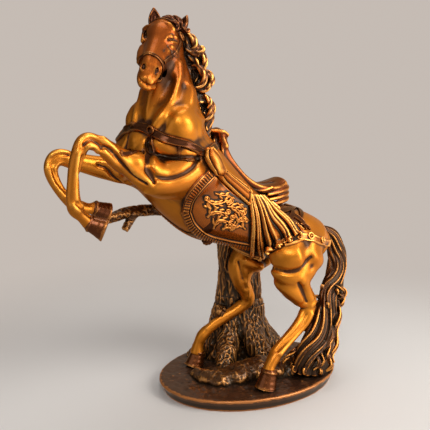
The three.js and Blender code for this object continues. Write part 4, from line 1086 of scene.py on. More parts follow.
ear("right", (-163.5, -55, 521), (-165.5, -54.5, 547), -FORWARD + 0.2 * RIGHT)
ear("left", (-135, -65, 518), (-124, -63, 540), -FORWARD - 0.9 * RIGHT)


# Hair: every lock is a bundle of strands that wind round its course
def lock(line, thick, strands, twist, phase=0.0, taper=(0.55, 1.0, 1.0, 0.8, 0.35)):
    """The strands of a lock. `twist` counts their turns, and `taper` shares out the lock's thickness."""
    line = np.asarray(line, float)
    count = max(18, 5 * len(line))
    t = np.linspace(0, 1, count)
    middle = through(line, t)
    ahead = unit(np.gradient(middle, axis=0))
    spread = thick * through(np.array(taper)[:, None], t, False)[:, 0]
    side = unit(np.cross(ahead, FORWARD) + 1e-3)
    up = np.cross(ahead, side)
    reach = spread * STRAND_SHARE
    out = []
    for k in range(strands):
        turn = 2 * math.pi * (k / strands + twist * t) + phase
        path = middle + side * (np.cos(turn) * reach)[:, None] + up * (np.sin(turn) * reach)[:, None]
        out.append(strand(path[::2], reach[::2], 8, count))
    return out


def combed(ridges, depth, swing, waves):
    """Relief of parallel waved strands for a loft of hair."""
    return lambda t, angle: depth * (
        np.abs(np.cos(ridges * (angle + swing * np.sin(2 * math.pi * waves * t)) / 2)) - 0.6)


def hair(name, shapes, node, low, high, paint="hair"):
    """A piece of hair whose shapes are melted together."""
    clay = Clay(low, high, FINE_STEP, 4)
    clay.add(merged(shapes))
    piece(name, clay.mesh(), paint, "bronze_lacquer", [node])


# The mane's root, from the poll to the withers, and the pixel rows and heights between which it runs
CREST = np.array([(-143, -55, 536), (-133, -48, 512), (-127, -46, 486), (-121, -45, 456), (-114, -42, 428),
                  (-102, -40, 402)], float)
CREST_ROWS = (22, 128)
CREST_HEIGHTS = (534, 402)
FAR_SIDE = np.array([0.45, 0.89, 0])


def crest_at(py):
    """The mane's root at the height of a pixel row."""
    share = np.clip((py - CREST_ROWS[0]) / (CREST_ROWS[1] - CREST_ROWS[0]), 0, 1)
    return through(CREST, share)[0]


def mane_line(pixels, toward, end):
    """A lock's course by pixels, `toward` the camera from the crest, running to `end` millimetres at the tip."""
    steps = len(pixels) - 1
    return np.array([at_depth(px, py, crest_at(py) - FORWARD * (toward + (end - toward) * i / steps))
                     for i, (px, py) in enumerate(pixels)])


def mane(name, crest, core, core_side, core_dome, locks, curls, curl_thick, curl_end, far_roots, far_course,
         low, high):
    """A group of the mane: locks along the crest, a combed core, the locks that the picture shows, small curls
    between them, and locks that fall on the far side."""
    shapes = []
    for a, b in zip(crest, crest[1:]):
        shapes += lock([a, (a + b) / 2, b], 9, 5, 0.7, taper=(0.9, 1, 1, 1, 0.9))
    stations = [(*at_depth(px, py, crest_at(py) + FORWARD * 2), core_side, half, half) for px, py, half in core]
    shapes.append(Loft(stations, turn=(35, 35), dome=(core_dome, core_dome),
                       relief=combed(9, 3.0, 0.5, 2.2)).shape(60, 80))
    for pixels, toward, end, thick, strands, twist in locks:
        shapes += lock(mane_line(pixels, toward, end), thick, strands, twist)
    for k, pixels in enumerate(curls):
        shapes += lock(mane_line(pixels, 9, curl_end), curl_thick, 3, 0.7, k)
    for k, (height, swing) in enumerate(far_roots):
        root = through(CREST, (CREST_HEIGHTS[0] - height) / (CREST_HEIGHTS[0] - CREST_HEIGHTS[1]))[0]
        falling = [root + FAR_SIDE * out + [x + swing * share, 0, z] for out, x, share, z in far_course]
        shapes += lock(falling, 5, 4, 0.7 + 0.1 * (k % 3), k)
    hair("mane_" + name + "_locks", shapes, "mane_" + name, low, high)


# A lock's pixels, millimetres toward the camera at root and tip, thickness, strands and turns
mane("upper", CREST[:4],
     core=((184, 36, 8), (188, 46, 10), (193, 58, 12), (196, 72, 12), (198, 86, 11)), core_side=9, core_dome=5,
     locks=[
         ([(180, 34), (187, 36), (193, 40), (195, 47), (190, 51), (184, 48)], 8, 14, 4.6, 4, 0.8),
         ([(182, 40), (186, 46), (191, 52), (198, 53), (203, 49), (200, 46)], 10, 12, 4.4, 4, 0.8),
         ([(181, 44), (183, 52), (188, 60), (196, 60), (202, 54), (204, 58), (201, 66)], 6, 6, 4.6, 4, 0.9),
         ([(180, 50), (182, 58), (184, 66), (188, 72), (188, 80), (184, 84), (181, 88)], 12, 14, 4.2, 4, 0.8),
         ([(186, 64), (190, 68), (196, 66), (201, 70), (204, 76), (203, 84), (196, 88), (189, 86), (187, 80)],
          8, 16, 4.2, 4, 1.0),
         ([(196, 68), (203, 72), (210, 76), (211, 82), (206, 88), (200, 90)], 2, 8, 4.6, 4, 0.9),
     ],
     curls=[
         [(178, 34), (184, 38), (188, 45), (185, 52), (179, 56)],
         [(184, 54), (190, 57), (196, 61), (200, 67), (206, 70)],
         [(196, 48), (201, 54), (205, 61), (204, 68), (199, 72)],
         [(177, 56), (181, 64), (179, 72), (182, 80), (180, 86)],
         [(188, 82), (194, 88), (202, 91), (208, 88), (210, 83)],
         [(176, 44), (178, 52), (175, 60), (178, 66)],
         [(188, 40), (194, 44), (199, 50), (198, 58)],
     ], curl_thick=3.6, curl_end=13,
     far_roots=[(533, 24), (522, 30), (508, 32), (494, 34), (480, 34), (468, 32)],
     far_course=[(0, 0, 0, 0), (12, 4, 0, -4), (20, 8, 0, -18), (16, 0, 0.5, -30),
                 (22, 0, 0.7, -38), (18, 0, 0.4, -44)],
     low=(-165, -105, 410), high=(-70, 30, 548))

mane("lower", CREST[3:],
     core=((197, 92, 9), (200, 104, 10), (202, 116, 10), (203, 128, 9), (203, 140, 7)), core_side=8, core_dome=4,
     locks=[
         ([(184, 88), (187, 93), (186, 99), (182, 103)], 14, 14, 3.0, 3, 0.7),
         ([(192, 88), (193, 94), (196, 99), (193, 101)], 10, 14, 3.2, 3, 0.7),
         ([(198, 86), (201, 93), (204, 99), (211, 104), (213, 112), (208, 118)], 4, 8, 4.4, 4, 0.8),
         ([(206, 100), (200, 102), (195, 104), (192, 110), (194, 116)], 8, 18, 3.6, 4, 0.8),
         ([(206, 102), (210, 108), (209, 116), (203, 122), (199, 128), (203, 133)], 6, 14, 4.4, 4, 0.9),
         ([(209, 108), (211, 116), (209, 124), (207, 132), (204, 139), (202, 145)], 2, 10, 4.4, 4, 0.9),
         ([(198, 118), (202, 124), (206, 130), (208, 137), (205, 143)], 8, 6, 3.8, 4, 0.7),
     ],
     curls=[
         [(187, 88), (190, 97), (188, 105), (190, 110)],
         [(195, 90), (199, 97), (197, 105), (201, 110)],
         [(200, 94), (206, 97), (210, 103), (207, 109)],
         [(194, 110), (200, 116), (198, 124), (202, 131)],
         [(202, 131), (206, 137), (203, 144), (206, 149)],
         [(190, 104), (188, 110), (192, 116)],
         [(204, 112), (208, 118), (205, 126), (208, 131)],
     ], curl_thick=3.4, curl_end=12,
     far_roots=[(456, 30), (444, 30), (432, 28), (420, 26), (410, 22)],
     far_course=[(0, 0, 0, 0), (12, 4, 0, -2), (20, 6, 0, -12), (18, 0, 0.5, -24),
                 (24, 0, 0.6, -30), (19, 0, 0.3, -34)],
     low=(-150, -105, 355), high=(-60, 30, 470))

# Forelock: each lock's pixels, millimetres toward the camera from the forehead, thickness and turns
fore = []
for pixels, toward, thick, twist in (
        ([(176, 22), (170, 18), (164, 19), (163, 24), (168, 27), (172, 24)], 2, 3.4, 0.8),
        ([(178, 24), (174, 22), (168, 24), (165, 28), (168, 31)], 6, 2.8, 0.8),
        ([(178, 24), (177, 30), (173, 34), (174, 38), (178, 38)], 5, 3.2, 0.8),
        ([(162, 20), (158, 22), (154, 22), (150, 23)], 3, 2.6, 0.6),
        ([(180, 28), (184, 30), (188, 31), (189, 28)], 0, 3.0, 0.6),
        ([(172, 20), (176, 19), (180, 23), (182, 28)], -6, 4.2, 0.6)):
    brow = [at_depth(px, py, in_head(0, 10, 4) - FORWARD * toward) for px, py in pixels]
    fore += lock(brow, thick, 3, twist)
hair("forelock_curls", fore, "forelock", (-190, -110, 490), (-105, -30, 547), "ear")

# Tail: long waved strands that sweep out, fall beside the hock and spread on the base
TAIL = [
    (124, -9, 240, 8, 9, 9), (145, -12, 228, 9, 13, 13), (154, -15, 203, 11, 17, 17), (154, -18, 180, 12, 18, 18),
    (147, -22, 158, 12, 18, 18), (137, -28, 138, 12, 22, 24), (127, -36, 118, 13, 22, 26), (114, -44, 97, 14, 24, 28),
    (99, -52, 70, 16, 30, 32), (87, -57, 45, 18, 38, 36), (82, -59, 20, 20, 42, 38),
]
tail_core = Loft([(x, y, z, a * 0.86, b * 0.86, c * 0.86) for x, y, z, a, b, c in TAIL], turn=(10, 10),
                 dome=(8, 3), relief=combed(13, 3.4, 0.5, 2.3))
tail_skin = Loft(TAIL, turn=(10, 10), dome=(8, 3))
tail_shapes = [tail_core.shape(150, 110)]
for k in range(TAIL_LOCKS):
    # Every lock waves in step with its neighbours; every other one ends in a curl half way down
    start = 0.0 if k % 2 else 0.30 + 0.04 * (k % 3)
    stop = (0.50 if k % 4 == 1 else 0.62) if k % 2 else 0.96
    t = np.linspace(start, stop, 20)
    degrees = 360 * k / TAIL_LOCKS - 29 * np.sin(2 * math.pi * 2.3 * t) + 8 * math.sin(3 * k)
    line = tail_skin.point(t, degrees, -3.2)
    out = unit(line[-1] - tail_skin.frame(t[-1])[0][0])
    curl = [line[-1] + out * far + [0, 0, up] for far, up in ((3, -5), (6, -2), (4, 3))]
    line = np.vstack([line, *curl])
    line[:, 2] = np.maximum(line[:, 2], BASE_TOP + 2)
    tail_shapes += lock(line, 3.9, 3, 0.6, k, taper=(0.6, 1, 1, 1, 1, 0.6))
TAIL_CURLS = [
    [(321, 287), (330, 285), (339, 287), (345, 292), (342, 298), (333, 297), (328, 293)],
    [(336, 292), (343, 297), (341, 305), (334, 306)],
    [(323, 296), (314, 297), (308, 303), (310, 310), (317, 312), (320, 306)],
    [(325, 308), (318, 313), (312, 318), (308, 325), (304, 331)],
    [(322, 298), (329, 304), (333, 313), (330, 323), (333, 333), (328, 344), (321, 351), (324, 361), (318, 368)],
    [(338, 300), (340, 315), (336, 330), (337, 344), (332, 356), (335, 364)],
    [(314, 318), (311, 330), (314, 340), (309, 352), (313, 362), (307, 369)],
    [(322, 322), (320, 334), (323, 344), (317, 354), (319, 364), (312, 371)],
    [(306, 336), (303, 346), (306, 356), (299, 364), (292, 368)],
    [(330, 344), (328, 356), (331, 366), (325, 372)],
    [(300, 344), (293, 352), (286, 358), (281, 366)],
]
for k, pixels in enumerate(TAIL_CURLS):
    line = []
    for px, py in pixels:
        middle, _, _, _, reach = tail_skin.frame(np.clip((py - TAIL_ROWS[0]) / (TAIL_ROWS[1] - TAIL_ROWS[0]), 0, 1))
        line.append(at_depth(px, py, middle[0] - FORWARD * (reach[0][0] + 3)))
    line = np.array(line)
    line[:, 2] = np.maximum(line[:, 2], BASE_TOP + 3)
    tail_shapes += lock(line, 3.3, 3, 0.8, k)
hair("tail_locks", tail_shapes, "tail", (30, -112, 14), (186, 24, 258), "tail")


# Hooves: a flared wall under a raised coronet, with growth rings
def growth_rings(t, angle):
    return 0.10 * np.sin(t * 38) * np.clip((t - 0.4) * 4, 0, 1) + 0.12 * np.sin(7 * angle + 3 * t)


# Shares of the way from the crown to the sole, and how much wider the wall is there than its middle
HOOF_ROWS = ((-0.14, -3.4), (-0.04, -1.6), (0.04, -1.3), (0.12, -1.9), (0.35, -1.2), (0.65, 0), (0.9, 1.1),
             (1.0, 1.4))
for limb, side, crown, sole, heading, reach in (
        ("hind", "left", (-3, -74, 43), (-9, -76, BASE_TOP + 0.8), 6, 14.2),
        ("hind", "right", (-77, 36, 41), (-83, 34, BASE_TOP + 0.8), 6, 13.6),
        ("fore", "left", (-261, -126, 288), (-244, -130, 281), 30, 11.5),
        ("fore", "right", (-247, -60, 297), (-230, -56, 291), 30, 11.5)):
    stations = []
    for t, wider in HOOF_ROWS:
        place = np.array(crown, float) + (np.array(sole, float) - crown) * t
        stations.append((*place, reach + wider, (reach + wider) * (1.0 + 0.16 * max(t, 0)),
                         (reach + wider) * (1.0 - 0.06 * max(t, 0))))
    wall = Loft(stations, turn=(heading, heading), dome=(2, 0.5), relief=growth_rings)
    piece(f"hoof_{limb}_{side}", wall.shape(60, 48), "horn", "bronze_lacquer", [f"{limb}_hoof_{side}"])


# Stump, branch, rocks and base
def weathered_piece(name, node, clay, coarse, fine, stretch=1.0, floor=0.0):
    """A piece of bark or stone, its points pushed in and out by ridged noise that is stretched up the trunk."""
    points, quads = clay.mesh()
    push = np.empty(len(points))
    for i, (x, y, z) in enumerate(points):
        lump = noise.noise(Vector((x / 15, y / 15, z / (15 * stretch))))
        crack = noise.noise(Vector((x / 5.5, y / 5.5, z / (6 * stretch) + 7)))
        push[i] = coarse * lump + fine * (0.4 - abs(crack) * 2.2)
    points = points + vertex_normals(points, quads) * push[:, None]
    points[:, 2] = np.maximum(points[:, 2], floor)
    piece(name, (points, quads), "bark", "dark_patina", [node])


def spur(start, end, thick):
    """A root or a stub that leaves the trunk and bows down a little."""
    start, end = np.array(start, float), np.array(end, float)
    middle = (start + end) / 2 - [0, 0, abs(start[2] - end[2]) / 8]
    return Loft([(*start, thick * 0.8), (*middle, thick), (*end, thick * 0.6)], dome=(3, 3)).shape(20, 24)


def fluted(t, angle):
    return 2.6 * np.sin(5 * angle + 6 * t) + 1.2 * np.sin(11 * angle - 5 * t)


trunk = Loft([
    (8, 60, BASE_TOP - 6, 38, 80, 72), (7, 60, 40, 33, 68, 58), (5, 60, 75, 28, 52, 46), (4, 60, 115, 25, 45, 36),
    (3, 60, 160, 24, 41, 33), (-3, 57, 205, 25, 40, 30), (-10, 50, 240, 22, 34, 24),
], dome=(2, 3), relief=fluted)
bark = Clay((-100, -60, 8), (115, 108, 262), BARK_STEP, 8)
bark.add(trunk.shape(80, 72))
for start, end, thick in (
        ((-8, 60, 92), (-54, -18, 15), 16), ((8, 58, 96), (36, -26, 14), 17), ((-20, 62, 72), (-78, 74, 15), 16),
        ((22, 60, 86), (90, 42, 14), 17), ((-30, 44, 96), (-44, 35, 110), 10)):
    bark.add(spur(start, end, thick), 15)
weathered_piece("stump_bark", "tree_stump", bark, 2.4, 2.0, 3.5, BASE_TOP - 4)

BRANCH = [(-8, 50, 216, 11), (-46, 42, 246, 10.5), (-90, 28, 268, 9.8), (-130, 8, 282, 8.8), (-166, -8, 286, 8.2),
          (-200, -26, 285, 7.4), (-234, -43, 279, 6)]
branch = Clay((-250, -65, 195), (10, 70, 305), BRANCH_STEP, 6)
branch.add(Loft(BRANCH, dome=(4, 3), relief=lambda t, a: 0.9 * np.sin(3 * a + 20 * t)).shape(90, 30))
stub = [(-188, -20, 285, 6.5), (-197, -24, 272, 6), (-204, -27, 262, 5.4)]
branch.add(Loft(stub, dome=(3, 1.5)).shape(20, 24), 4)
weathered_piece("branch_bark", "branch", branch, 0.8, 0.8)

rocks = Clay((-118, -70, 10), (100, 20, 60), BARK_STEP, 8)
for x, y, a, b, c, turn in ((-82, -10, 24, 17, 10, 2.1), (-58, -26, 26, 19, 12, 0.9), (-32, -31, 24, 20, 16, 1.2),
                            (2, -30, 26, 20, 20, 0.1), (32, -36, 28, 22, 15, 0.2), (60, -36, 24, 20, 18, 0.5)):
    axes = np.array([[math.cos(turn), math.sin(turn), 0], [-math.sin(turn), math.cos(turn), 0], [0, 0, 1]])
    rocks.egg((x, y, BASE_TOP + c * 0.25), (a, b, c), axes, 12)
weathered_piece("ground_rocks_mass", "ground_rocks", rocks, 4.5, 0.6, floor=BASE_TOP - 3)


def base():
    """The oval slab: a foot, an undercut side, a rounded rim and an uneven top."""
    rows = [(0.953, 1.2), (0.958, 4), (0.968, 8), (0.982, 12), (0.996, 14.6), (1.0, 16), (0.996, 17.4),
            (0.986, 18.2), (0.972, 18.4)]
    rows += [(share, BASE_TOP + 1.2 * (1 - share)) for share in np.linspace(0.955, 0.03, 70)]
    around = 300
    points = []
    for share, z in rows:
        for k in range(around):
            a = 2 * math.pi * k / around
            x, y = math.cos(a) * BASE_HALF[0], math.sin(a) * BASE_HALF[1]
            rag = 0.012 * noise.noise(Vector((x / 22, y / 22, 3))) if z > 10 else 0.0
            reach = share * (1 - abs(rag))
            up = 0.0
            if share < 0.97:
                soft = min(1, (0.97 - share) * 14)
                place = Vector((x * share, y * share, 0))
                up = soft * (1.8 * noise.noise(place / 20) + 1.1 * noise.noise(place / 7.5 + Vector((5, 5, 5))) - 0.5)
                up += soft * 0.7 * abs(noise.noise(Vector((x * share / 11, y * share / 4, 2))))
            points.append((x * reach, y * reach, z + up))
    points.append((0, 0, 1.2))
    points.append((0, 0, BASE_TOP + 1.2))
    quads, tris = tube_faces(len(rows), around, len(points) - 2, len(points) - 1)
    return np.array(points), quads, tris


piece("base_slab", base(), "slab", "dark_patina", ["base_plinth"])


# Patina and painted shade: how much of the neighbourhood of each spot is filled, near by and farther off
def blurred(field, radius):
    """The field's means over boxes of a radius, taken twice."""
    width = 2 * radius + 1
    for _ in range(2):
        for axis in range(3):
            pad = [(radius + 1, radius) if k == axis else (0, 0) for k in range(3)]
            total = np.cumsum(np.pad(field, pad, mode="edge"), axis, dtype=np.float32)
            size = field.shape[axis]
            field = (np.take(total, range(width, width + size), axis) - np.take(total, range(size), axis)) / width
    return field


filled = Clay((-325, -170, -20), (195, 125, 570), PATINA_STEP, 2 * PATINA_STEP)
filled.add((horse_points, horse_quads, NO_TRIS))
for each in pieces:
    if each["skin"] is None:
        parts = {part.shape[1]: part for part in each["faces"]}
        filled.add((each["points"], parts.get(4, NO_QUADS), parts.get(3, NO_TRIS)))
solid = np.clip(0.5 - filled.field / PATINA_STEP, 0, 1)
near_fill = blurred(solid, 1)
far_fill = blurred(solid[::2, ::2, ::2].copy(), 2)


def patina_and_shade(points):
    """Edge: how much a spot stands out near by. Hollow: how deep it lies among its surroundings, which darkens it as
    wash and as painted shade between parts and under them.
    """
    place = points / PATINA_STEP - filled.first
    edge = 0.5 - sample(near_fill, place)
    hollow = sample(far_fill, place / 2) - 0.5
    return edge, hollow


def standing(points, faces):
    """How far each vertex stands out from the form within a reach, in millimetres: ridges are above zero, grooves
    below. What a wider reach shows as well, such as the roundness of a leg, is taken off."""
    pairs = np.vstack([part[:, [k, (k + 1) % part.shape[1]]] for part in faces for k in range(part.shape[1])])
    pairs = np.vstack([pairs, pairs[:, ::-1]])
    count = np.maximum(np.bincount(pairs[:, 0], minlength=len(points)), 1)
    length = np.linalg.norm(points[pairs[:, 0]] - points[pairs[:, 1]], axis=1).mean()
    passes = int(np.clip(4 * (RELIEF_REACH / length) ** 2, 2, 24))
    smooth, found = points, []
    for turn in range(3 * passes):
        around = np.stack([np.bincount(pairs[:, 0], smooth[pairs[:, 1], axis], len(points))
                           for axis in range(3)], 1)
        smooth = (smooth + around / count[:, None]) / 2
        if turn + 1 in (passes, 3 * passes):
            found.append(smooth)
    normal = sum(vertex_normals(points, part) * (1.0 if part.shape[1] == 4 else 0.2) for part in faces)
    near, far = (np.sum((points - form) * unit(normal), 1) for form in found)
    return near - far / 3


# Materials
class Flow:
    """A shader socket on which sums are written as they are read."""

    def __init__(self, paint, socket):
        self.paint, self.socket = paint, socket

    def math(self, operation, *others):
        values = dict(enumerate((self,) + others))
        return self.paint.node("ShaderNodeMath", {"operation": operation}, values)

    def __add__(self, other):
        return self.math("ADD", other)

    __radd__ = __add__

    def __mul__(self, other):
        return self.math("MULTIPLY", other)

    def __sub__(self, other):
        return self.math("SUBTRACT", other)

    def __rsub__(self, other):
        return self.paint.node("ShaderNodeMath", {"operation": "SUBTRACT"}, {0: other, 1: self})


class Paint:
    """A node tree under construction: a new material's, or the world's."""

    def __init__(self, name, owner=None):
        self.material = owner or bpy.data.materials.new(name)
        self.material.use_nodes = True
        self.tree = self.material.node_tree
        self.tree.nodes.clear()

    def node(self, kind, settings=None, sockets=None, out=0):
        """Adds a node with its settings and sockets, and gives the flow from one of its outlets."""
        node = self.tree.nodes.new(kind)
        for key, value in (settings or {}).items():
            setattr(node, key, value)
        for key, value in (sockets or {}).items():
            socket = node.inputs[key]
            if isinstance(value, Flow):
                self.tree.links.new(value.socket, socket)
            else:
                socket.default_value = (*value, 1) if isinstance(value, tuple) and socket.type == "RGBA" else value
        return Flow(self, node.outputs[out]) if node.outputs else None

    def span(self, value, low, high, to_low=0.0, to_high=1.0):
        """A smooth step from one value to another as the flow goes from low to high."""
        return self.node("ShaderNodeMapRange", {"interpolation_type": "SMOOTHSTEP"},
                         {"Value": value, "From Min": low, "From Max": high, "To Min": to_low, "To Max": to_high})

    def mix(self, share, a, b):
        return self.node("ShaderNodeMix", {"data_type": "RGBA"}, {"Factor": share, 6: a, 7: b}, out=2)

    def grain(self, scale, detail, rough, stretch=(1, 1, 1)):
        place = self.node("ShaderNodeTexCoord", out=3)
        place = self.node("ShaderNodeMapping", None, {"Vector": place, "Scale": stretch})
        return self.node("ShaderNodeTexNoise", None, {
            "Vector": place, "Scale": scale, "Detail": detail, "Roughness": rough})

    def surface(self, colour, metal, rough, bump, strength, coat):
        """The finished material: a metallic skin with a fine bump under a thin clear coat."""
        normal = self.node("ShaderNodeBump", None, {"Height": bump, "Strength": strength, "Distance": 0.0006})
        shader = self.node("ShaderNodeBsdfPrincipled", None, {
            "Base Color": colour, "Metallic": metal, "Roughness": rough, "Coat Weight": coat,
            "Coat Roughness": 0.12, "Normal": normal, "Specular Tint": (1.0, 0.72, 0.45)})
        self.node("ShaderNodeOutputMaterial", None, {"Surface": shader})
        return self.material


def lacquer(name, dark, mid, light, hollow=(-0.02, 0.2), crest=(0.02, 0.16), metal=(0.5, 0.85), rough=(0.42, 0.27),
            fleck=0.0, grain=0.05, stretch=(1, 1, 1), coat=0.25, bumps=0.05, upper=None):
    """Metallic lacquer over a dark ground: the ground stays in the hollows, as wash and as painted shade between
    parts and under them, and the light tone is rubbed on the crests. `upper` is the middle tone of the neck and head."""
    paint = Paint(name)

    def measure(key):
        return paint.node("ShaderNodeAttribute", {"attribute_name": key}, out=2)

    def patchy(tone):
        """A tone that deepens in broad patches."""
        deeper = tuple(part * share for part, share in zip(tone, (0.62, 0.48, 0.6)))
        return paint.mix(paint.span(broad, 0.38, 0.66) * 0.6, tone, deeper)

    edge, depth = measure("edge"), measure("hollow")
    broad = paint.grain(11, 3, 0.55, stretch)
    fine = paint.grain(160, 4, 0.6, stretch)
    # The hollows darken toward the dark ground: wash in the lacquer, and painted shade between parts and under them
    wash_and_shade_share = paint.span(depth + (broad - 0.5) * 0.12 - edge * 0.8, *hollow)
    rub = paint.span(edge + (broad - 0.5) * 0.08 + (fine - 0.5) * grain, *crest)
    colour = patchy(mid)
    if upper:
        # The deeper tone fades in over the neck's root
        height = measure("up_the_neck")
        colour = paint.mix(height, colour, patchy(upper))
        rub = rub * (1.0 - height * 0.55)
    colour = paint.mix(rub, colour, light)
    colour = paint.mix(wash_and_shade_share, colour, dark)
    if fleck:
        colour = paint.mix(paint.span(fine + edge * 1.6, 0.62, 0.72) * fleck, colour, light)
    metallic = paint.span(wash_and_shade_share, 0, 1, metal[1], metal[0])
    roughness = paint.span(wash_and_shade_share, 0, 1, rough[1], rough[0]) + (fine - 0.5) * 0.08
    return paint.surface(colour, metallic, roughness, fine + broad * 0.5, bumps, coat)


GROUND = (0.014, 0.006, 0.003)
PAINTS = {
    "coat": lacquer("gold_coat", (0.045, 0.011, 0.002), (0.65, 0.225, 0.017), (0.86, 0.38, 0.055),
                    hollow=(0.0, 0.17), crest=(0.06, 0.24), metal=(0.5, 0.88), rough=(0.44, 0.36), coat=0.12,
                    grain=0.02, bumps=0.015, upper=(0.31, 0.073, 0.005)),
    "gilt": lacquer("gilt_cloth", GROUND, (0.44, 0.135, 0.016), (0.90, 0.42, 0.085), hollow=(-0.05, 0.1)),
    "blanket": lacquer("blanket_lacquer", GROUND, (0.42, 0.115, 0.011), (0.70, 0.27, 0.045), hollow=(-0.02, 0.15),
                       crest=(0.04, 0.18), grain=0.08),
    "saddle": lacquer("saddle_lacquer", (0.03, 0.009, 0.003), (0.19, 0.045, 0.009), (0.72, 0.28, 0.05),
                      hollow=(-0.02, 0.15), crest=(0.05, 0.2), metal=(0.5, 0.9), coat=0.12),
    "flap": lacquer("flap_lacquer", (0.022, 0.006, 0.002), (0.36, 0.098, 0.008), (0.80, 0.34, 0.06),
                    hollow=(-0.02, 0.14), crest=(0.05, 0.19), metal=(0.4, 0.8), rough=(0.42, 0.36), coat=0.08),
    "leather": lacquer("strap_lacquer", GROUND, (0.075, 0.021, 0.006), (0.30, 0.105, 0.022), hollow=(-0.03, 0.14),
                       crest=(0.09, 0.26), coat=0.10),
    "hair": lacquer("hair_lacquer", GROUND, (0.14, 0.042, 0.009), (0.86, 0.40, 0.09), hollow=(-0.13, 0.06),
                    crest=(0.08, 0.22)),
    "tail": lacquer("tail_lacquer", GROUND, (0.075, 0.026, 0.007), (0.66, 0.27, 0.05), hollow=(-0.14, 0.05),
                    crest=(0.12, 0.28), coat=0.12),
    "ear": lacquer("ear_lacquer", GROUND, (0.085, 0.024, 0.008), (0.40, 0.13, 0.03), hollow=(-0.15, 0.1),
                   crest=(0.20, 0.42), coat=0.12),
    "horn": lacquer("hoof_lacquer", (0.02, 0.007, 0.003), (0.15, 0.042, 0.009), (0.50, 0.19, 0.04),
                    hollow=(0.0, 0.22), crest=(0.05, 0.24)),
    "bark": lacquer("bark_patina", (0.012, 0.006, 0.002), (0.090, 0.036, 0.011), (0.44, 0.19, 0.045),
                    hollow=(-0.02, 0.17), crest=(0.05, 0.21), metal=(0.25, 0.5), rough=(0.42, 0.30), fleck=0.5,
                    grain=0.3, stretch=(1, 1, 0.4), coat=0.2, bumps=0.2),
    "slab": lacquer("slab_patina", (0.020, 0.010, 0.006), (0.080, 0.036, 0.018), (0.46, 0.17, 0.045),
                    crest=(0.06, 0.16), metal=(0.25, 0.5), rough=(0.46, 0.34), fleck=0.35, grain=0.3, coat=0.2,
                    bumps=0.2),
}


def steel():
    paint = Paint("bright_steel")
    fine = paint.grain(300, 2, 0.5, (1, 1, 0.1))
    return paint.surface((0.5, 0.51, 0.52), 1.0, 0.25 + fine * 0.15, fine, 0.1, 0.0)


def felt():
    paint = Paint("felt")
    fibre = paint.grain(900, 5, 0.7)
    colour = paint.mix(fibre, (0.012, 0.010, 0.009), (0.05, 0.045, 0.04))
    return paint.surface(colour, 0.0, 0.9 + fibre * 0.1, fibre, 0.6, 0.0)


# The hidden rods, pins and pad keep their CAD shapes
finishes = {node: steel for node in ("rod_left", "rod_right", "neck_pin", "head_pin", "foreleg_pin_left",
                                     "foreleg_pin_right", "tail_pin")}
finishes["felt_pad"] = felt
for node, finish in finishes.items():
    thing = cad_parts[node]
    thing.data.materials.clear()
    thing.data.materials.append(finish())

# Meshes
horse_stands = np.append(standing(horse_points, [horse_quads]), 0.0)
for each in pieces:
    points = each["points"]
    mesh = bpy.data.meshes.new(each["name"])
    faces = [row for part in each["faces"] for row in part.tolist()]
    mesh.from_pydata((points * 0.001).tolist(), [], faces)
    mesh.shade_smooth()
    # Edge and hollow carry the rubbed crests and the dark wash, with painted shade in the hollows between and under
    # parts
    edge, hollow = patina_and_shade(points)
    stands = standing(points, each["faces"]) if each["skin"] is None else horse_stands[each["skin"]]
    fine = each["carving_and_shade"] + np.clip(RELIEF_SHARE * stands, -0.2, 0.16)
    share = np.clip((points[:, 2] - NECK_ROOT[0]) / (NECK_ROOT[1] - NECK_ROOT[0]), 0, 1)
    measures = {"edge": edge + fine, "hollow": hollow - fine, "up_the_neck": share * share * (3 - 2 * share)}
    for key, values in measures.items():
        mesh.attributes.new(key, "FLOAT", "POINT").data.foreach_set("value", values.astype(np.float32))
    if each["normals"] is not None:
        mesh.normals_split_custom_set_from_vertices(each["normals"].tolist())
    else:
        mesh.set_sharp_from_angle(angle=math.radians(CREASE))
    thing = bpy.data.objects.new(each["name"], mesh)
    bpy.context.scene.collection.objects.link(thing)
    mesh.materials.append(PAINTS[each["paint"]])
    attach(thing, "root")
    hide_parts(*each["nodes"])


# Stage, lights and camera
floor_paint = Paint("studio_floor")
place = floor_paint.node("ShaderNodeTexCoord", out=3)
away = floor_paint.node("ShaderNodeVectorMath", {"operation": "LENGTH"}, {0: place}, out=1)
floor = floor_paint.node("ShaderNodeBsdfPrincipled", None, {"Base Color": (0.74, 0.72, 0.70), "Roughness": 0.8})
# In reflections the floor is as pale as the backdrop, and brighter to the camera's right
in_reflection = floor_paint.node("ShaderNodeLightPath", out=3)
rightward = floor_paint.node(
    "ShaderNodeVectorMath", {"operation": "DOT_PRODUCT"}, {0: place, 1: tuple(RIGHT)}, out=1)
glow_strength = 1.0 + in_reflection * floor_paint.span(rightward, -0.2, 0.6, -0.45, 1.3)
glow = floor_paint.node("ShaderNodeEmission", None, {"Color": BACKDROP, "Strength": glow_strength})
faded = floor_paint.span(away, 0.28, 1.0)
shader = floor_paint.node("ShaderNodeMixShader", None, {
    0: faded + in_reflection * (1.0 - faded) * 0.9, 1: floor, 2: glow})
floor_paint.node("ShaderNodeOutputMaterial", None, {"Surface": shader})
bpy.ops.mesh.primitive_circle_add(vertices=96, radius=9, fill_type="NGON", location=(0, 0, 0))
disc = bpy.context.object
disc.name = "studio_floor"
disc.data.materials.append(floor_paint.material)

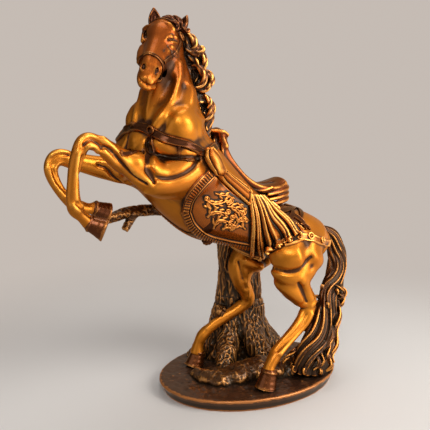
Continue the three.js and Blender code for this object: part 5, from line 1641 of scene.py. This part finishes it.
# The world: an even backdrop for the camera, a soft fill, and in reflections more light from the right and above
world = bpy.data.worlds.new("studio")
bpy.context.scene.world = world
sky = Paint("studio", world)
way = sky.node("ShaderNodeTexCoord")
bright_way = Vector(RIGHT) * 0.85 + Vector((0, 0, 0.6)) - Vector(FORWARD) * 0.08
lit = sky.node("ShaderNodeVectorMath", {"operation": "DOT_PRODUCT"}, {0: way, 1: tuple(bright_way)}, out=1)
reflected = sky.span(lit, -0.8, 1.0, 0.10, 1.35)
to_camera = sky.node("ShaderNodeLightPath")
glossy = sky.node("ShaderNodeLightPath", out=3)
strength = to_camera + glossy * reflected + (1.0 - to_camera) * (1.0 - glossy) * SOFT_FILL
background = sky.node("ShaderNodeBackground", None, {"Color": BACKDROP, "Strength": strength})
sky.node("ShaderNodeOutputWorld", None, {"Surface": background})


def softbox(name, right, toward, up, size, power, colour=(1, 1, 1)):
    """A square lamp placed by how far it stands to the camera's right, toward the camera and up, in metres."""
    lamp = bpy.data.lights.new(name, "AREA")
    lamp.size, lamp.energy, lamp.color = size, power, colour
    thing = bpy.data.objects.new(name, lamp)
    thing.location = LAMP_AIM + Vector(RIGHT) * right - Vector(FORWARD) * toward + Vector((0, 0, up))
    thing.rotation_euler = (LAMP_AIM - thing.location).to_track_quat("-Z", "Y").to_euler()
    bpy.context.scene.collection.objects.link(thing)


softbox("key", 1.35, 0.8, 0.95, 0.9, 19, (1.0, 0.97, 0.93))
softbox("fill", -1.5, 1.2, 0.3, 1.4, 3.5)
softbox("top", 0.1, -0.3, 1.8, 0.9, 8)
softbox("low", 1.35, 0.6, 0.0, 1.0, 12, (1.0, 0.96, 0.90))
softbox("behind_camera", -0.1, 1.5, 0.95, 0.7, 9)

camera = bpy.data.cameras.new("camera")
camera.sensor_width = 36
camera.lens = 36 * FOCAL_PX / FRAME_PX
viewer = bpy.data.objects.new("camera", camera)
viewer.location = EYE * 0.001
viewer.rotation_euler = Vector(FORWARD).to_track_quat("-Z", "Y").to_euler()
bpy.context.scene.collection.objects.link(viewer)
bpy.context.scene.camera = viewer
bpy.context.scene.view_settings.view_transform = "Standard"
